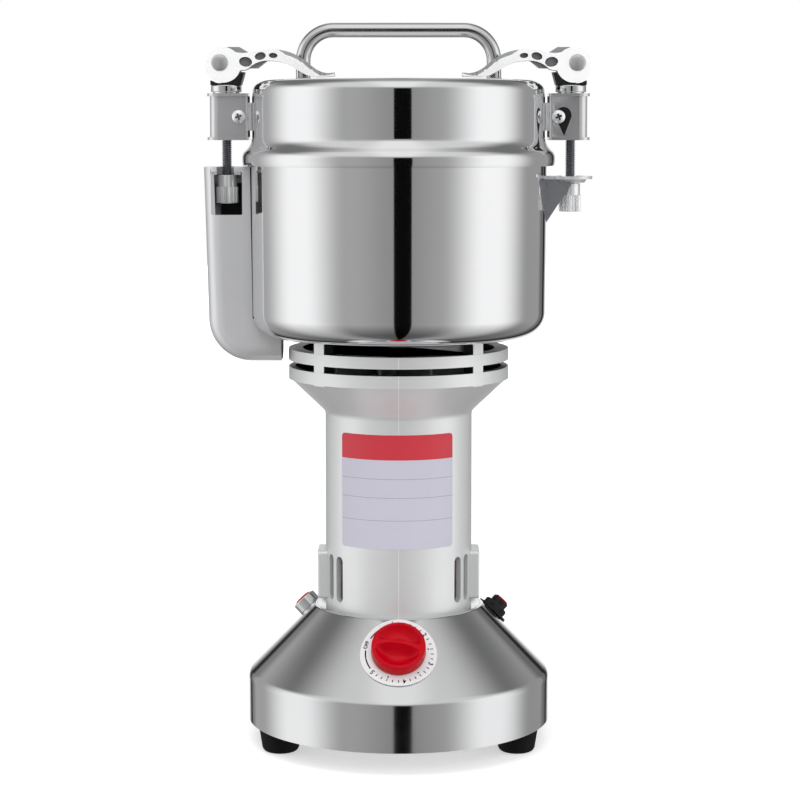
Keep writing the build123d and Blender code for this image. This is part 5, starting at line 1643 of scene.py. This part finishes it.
@dataclass
class SideFittings(SubAssembly):
    """The interlock duct with its switch, and the hook lug."""

    cheek_top: float = 288.0

    def build(self) -> None:
        """Dresses the folded pieces on both sides of the bowl."""
        self.keep(Finishes.DUCT_STEEL, "interlock_duct")
        self.lug()
        self.refine(Finishes.NYLON, "micro_switch", edge_mm=0.2)
        self.refine(Finishes.RED_ABS, "switch_plunger")

    def lug(self) -> None:
        """Dresses the hook lug, whose upright cheeks get a darker grey."""
        piece = refined("hook_lug")
        stand_in(piece, Finishes.PLATE_STEEL, "hook_lug")
        dress_faces(piece, Finishes.RAW_PLATE,
                    lambda centre, normal: abs(normal.y) > 0.9 and centre.z < self.cheek_top)


# ---------------------------------------------------------------- studio


@dataclass(frozen=True)
class Panel:
    """An upright panel of the room, by its direction in degrees from the front."""

    centre: float
    inner: float  # half width of its even part
    outer: float  # half width where it has faded out
    light: float  # what it adds, or takes away if it is a dark card

    def lit(self, tree: Tree, azimuth: Socket) -> Socket:
        """Its share of the light in a direction, in degrees from the front."""
        return close_to(tree, azimuth, self.centre, self.inner, self.outer, self.light,
                        interpolation_type="SMOOTHSTEP")


@dataclass
class Studio:
    """Two tall soft boxes at the sides, a dark flag at the front and a white ground."""

    camera_at: Point = (0.72, -1196.7, 319.5)
    pitch: float = 5.835
    focal_px: float = 2346.5
    picture_px: float = 800.0
    sensor: float = 36.0
    shift: float = -0.05
    panels: tuple[Panel, ...] = (
        Panel(0.0, 178.0, 180.0, 0.45),  # the room all round
        Panel(-84.0, 6.0, 44.0, 0.72),  # the two soft boxes
        Panel(76.0, 6.0, 44.0, 0.72),
        Panel(-152.0, 4.0, 12.0, -0.2),  # dark cards behind the object, which give its sides their dark lines
        Panel(152.0, 4.0, 14.0, -0.26),
        Panel(-155.0, 2.4, 3.8, -0.23),
        Panel(155.0, 2.4, 3.8, -0.17),
        Panel(125.0, 10.0, 30.0, -0.08),
        Panel(180.0, 12.0, 20.0, 0.6),  # a white card right behind it, at both ends of the turn
        Panel(-180.0, 12.0, 20.0, 0.6),
        Panel(2.0, 4.0, 40.0, -0.12),  # the dim middle of the front
    )
    flag: Panel = Panel(3.2, 6.4, 7.2, 1.0)
    flag_light: float = 0.004
    flag_top: tuple[float, float] = (0.33, 0.38)  # rise of its upper edge, full and faded out, as a sine
    under: tuple[float, float] = (-0.9, -0.25)  # fall over which the light from below grows
    under_light: float = 0.3
    roof_from: tuple[float, float] = (0.34, 0.66)  # rise over which the roof takes over
    roof_light: float = 0.2
    roof_panel: float = 0.6
    panel_edge: tuple[float, float] = (-0.35, 0.2)
    roof_strip: float = 0.2
    strip_edge: tuple[float, float] = (0.35, 0.1)
    # Name of each lamp, its place and size in metres, and its watts.
    lamps_at: tuple[tuple[str, Point, tuple[float, float], float], ...] = (
        ("overhead_soft_box", (-0.25, -0.5, 1.7), (1.4, 1.0), 9.0),
        ("front_soft_box", (0.35, -1.9, 0.9), (1.2, 1.2), 14.0),
    )
    lamps_aim: float = 0.2  # height in metres that they point to
    floor_size: float = 8.0  # in metres
    floor_glow: tuple[float, float] = (0.25, 1.6)  # metres from the object where its glow grows to the full
    floor_least: float = 0.5

    def build(self) -> None:
        """Sets up the light, the floor and the camera."""
        self.room()
        self.floor()
        self.lamps()
        self.camera()

    @staticmethod
    def ramp(tree: Tree, value: Socket, ends: tuple[float, float]) -> Socket:
        """Smooth step from nought to one between two values."""
        return add_node(tree, "MapRange", {"Value": value, "From Min": ends[0], "From Max": ends[1]},
                        interpolation_type="SMOOTHSTEP").outputs[0]

    @staticmethod
    def seen(tree: Tree) -> Socket:
        """One where a ray comes straight from the camera."""
        path = add_node(tree, "LightPath").outputs
        return add_node(tree, "Math", {0: path["Is Camera Ray"], 1: path["Is Transmission Ray"]},
                        operation="MAXIMUM").outputs[0]

    def roof(self, tree: Tree, side: Socket, front: Socket) -> Socket:
        """Light from above: a ceiling that is bright over the front, with one strip overhead.

        Args:
            tree: the world's node tree.
            side: share of a direction that points to the right.
            front: share of it that points to the front.

        Returns:
            The light of that direction.
        """
        aside = add_node(tree, "Math", {0: side}, operation="ABSOLUTE").outputs[0]
        light = add_node(tree, "Math", {0: self.ramp(tree, front, self.panel_edge), 1: self.roof_panel,
                                        2: self.roof_light}, operation="MULTIPLY_ADD").outputs[0]
        return add_node(tree, "Math", {0: self.ramp(tree, aside, self.strip_edge), 1: self.roof_strip,
                                       2: light}, operation="MULTIPLY_ADD").outputs[0]

    def room(self) -> None:
        """Lights the room from all round, with the soft boxes, the flag and the cards behind the object."""
        world = bpy.data.worlds.new("studio_room")
        bpy.context.scene.world = world
        world.use_nodes = True
        tree = world.node_tree
        tree.nodes.clear()
        way = add_node(tree, "TexCoord").outputs["Generated"]
        side, back, rise = add_node(tree, "SeparateXYZ", {0: way}).outputs
        front = add_node(tree, "Math", {0: back, 1: -1.0}, operation="MULTIPLY").outputs[0]
        turn = add_node(tree, "Math", {0: side, 1: front}, operation="ARCTAN2").outputs[0]
        azimuth = add_node(tree, "Math", {0: turn}, operation="DEGREES").outputs[0]
        total, *others = [panel.lit(tree, azimuth) for panel in self.panels]
        for light in others:
            total = add_node(tree, "Math", {0: total, 1: light}, operation="ADD").outputs[0]
        full, out = self.flag_top
        low = add_node(tree, "MapRange", {"Value": rise, "From Min": full, "From Max": out, "To Min": 1.0,
                                          "To Max": 0.0}).outputs[0]
        flag = add_node(tree, "Math", {0: self.flag.lit(tree, azimuth), 1: low},
                        operation="MULTIPLY").outputs[0]
        total = add_node(tree, "Mix", {0: flag, 2: total, 3: self.flag_light}, data_type="FLOAT").outputs[0]
        deep, level = self.under
        under = add_node(tree, "MapRange", {"Value": rise, "From Min": deep, "From Max": level,
                                            "To Min": self.under_light, "To Max": 1.0}).outputs[0]
        total = add_node(tree, "Math", {0: total, 1: under}, operation="MULTIPLY").outputs[0]
        light = add_node(tree, "Mix", {0: self.ramp(tree, rise, self.roof_from), 2: total,
                                       3: self.roof(tree, side, front)}, data_type="FLOAT").outputs[0]
        strength = add_node(tree, "Mix", {0: self.seen(tree), 2: light, 3: 1.0}, data_type="FLOAT").outputs[0]
        ground = add_node(tree, "Background", {"Color": linear("#ffffff"), "Strength": strength})
        add_node(tree, "OutputWorld", {"Surface": ground.outputs[0]})

    def floor(self) -> None:
        """Lays a plain pale floor that keeps the object's shadow and doesn't show in its mirrors."""
        bpy.ops.mesh.primitive_plane_add(size=self.floor_size)
        floor = bpy.context.object
        floor.name = "studio_floor"
        pale = bpy.data.materials.new("pale_floor")
        pale.use_nodes = True
        tree = pale.node_tree
        shader = tree.nodes["Principled BSDF"]
        shader.inputs["Base Color"].default_value = linear("#e6e6e6")
        shader.inputs["Emission Color"].default_value = linear("#ffffff")
        shader.inputs["Roughness"].default_value = 0.9
        shader.inputs["Specular IOR Level"].default_value = 0.1
        place = add_node(tree, "TexCoord").outputs["Object"]
        away = add_node(tree, "VectorMath", {0: place}, operation="LENGTH").outputs["Value"]
        near, full = self.floor_glow
        far = add_node(tree, "MapRange", {"Value": away, "From Min": near, "From Max": full,
                                          "To Min": self.floor_least, "To Max": 1.0}).outputs[0]
        glow = add_node(tree, "Math", {0: self.seen(tree), 1: far}, operation="MULTIPLY").outputs[0]
        tree.links.new(glow, shader.inputs["Emission Strength"])
        mirrored = add_node(tree, "LightPath").outputs["Is Glossy Ray"]
        clear = add_node(tree, "BsdfTransparent").outputs[0]
        mixed = add_node(tree, "MixShader", {0: mirrored, 1: shader.outputs[0], 2: clear}).outputs[0]
        tree.links.new(mixed, tree.nodes["Material Output"].inputs["Surface"])
        floor.data.materials.append(pale)

    def lamps(self) -> None:
        """Hangs one large soft lamp over the object and one in front of it, which mirrors don't show."""
        for name, place, size, energy in self.lamps_at:
            lamp = bpy.data.lights.new(name, "AREA")
            lamp.shape = "RECTANGLE"
            lamp.size, lamp.size_y = size
            lamp.energy = energy
            holder = bpy.data.objects.new(name, lamp)
            holder.location = place
            away = self.lamps_aim * UP - holder.location
            holder.rotation_euler = away.to_track_quat("-Z", "Y").to_euler()
            holder.visible_glossy = False
            bpy.context.scene.collection.objects.link(holder)

    def camera(self) -> None:
        """Stands the camera a little above the bowl, looking slightly down."""
        eye = bpy.data.cameras.new("studio_camera")
        eye.sensor_width = self.sensor
        eye.lens = self.focal_px / self.picture_px * self.sensor
        eye.shift_y = self.shift
        eye.clip_end = 20.0
        holder = bpy.data.objects.new("studio_camera", eye)
        holder.location = vector(*self.camera_at)
        holder.rotation_euler = (math.radians(90 - self.pitch), 0, 0)
        bpy.context.scene.collection.objects.link(holder)
        bpy.context.scene.camera = holder
        bpy.context.scene.view_settings.view_transform = "Standard"


def main() -> None:
    """Builds the mill piece by piece and then the studio."""
    assemblies: list[SubAssembly] = [
        BaseUnit(), TimerDial(), PanelControls(), MotorColumn(), MotorInside(), Bowl(), GrindingSet(), Lid(),
        CamClamp(Side.LEFT), CamClamp(Side.RIGHT), ClampMounts(), SideFittings()]
    for assembly in assemblies:
        log.info("-- %s", type(assembly).__name__)
        assembly.build()
    Studio().build()


if __name__ == "__main__":
    main()
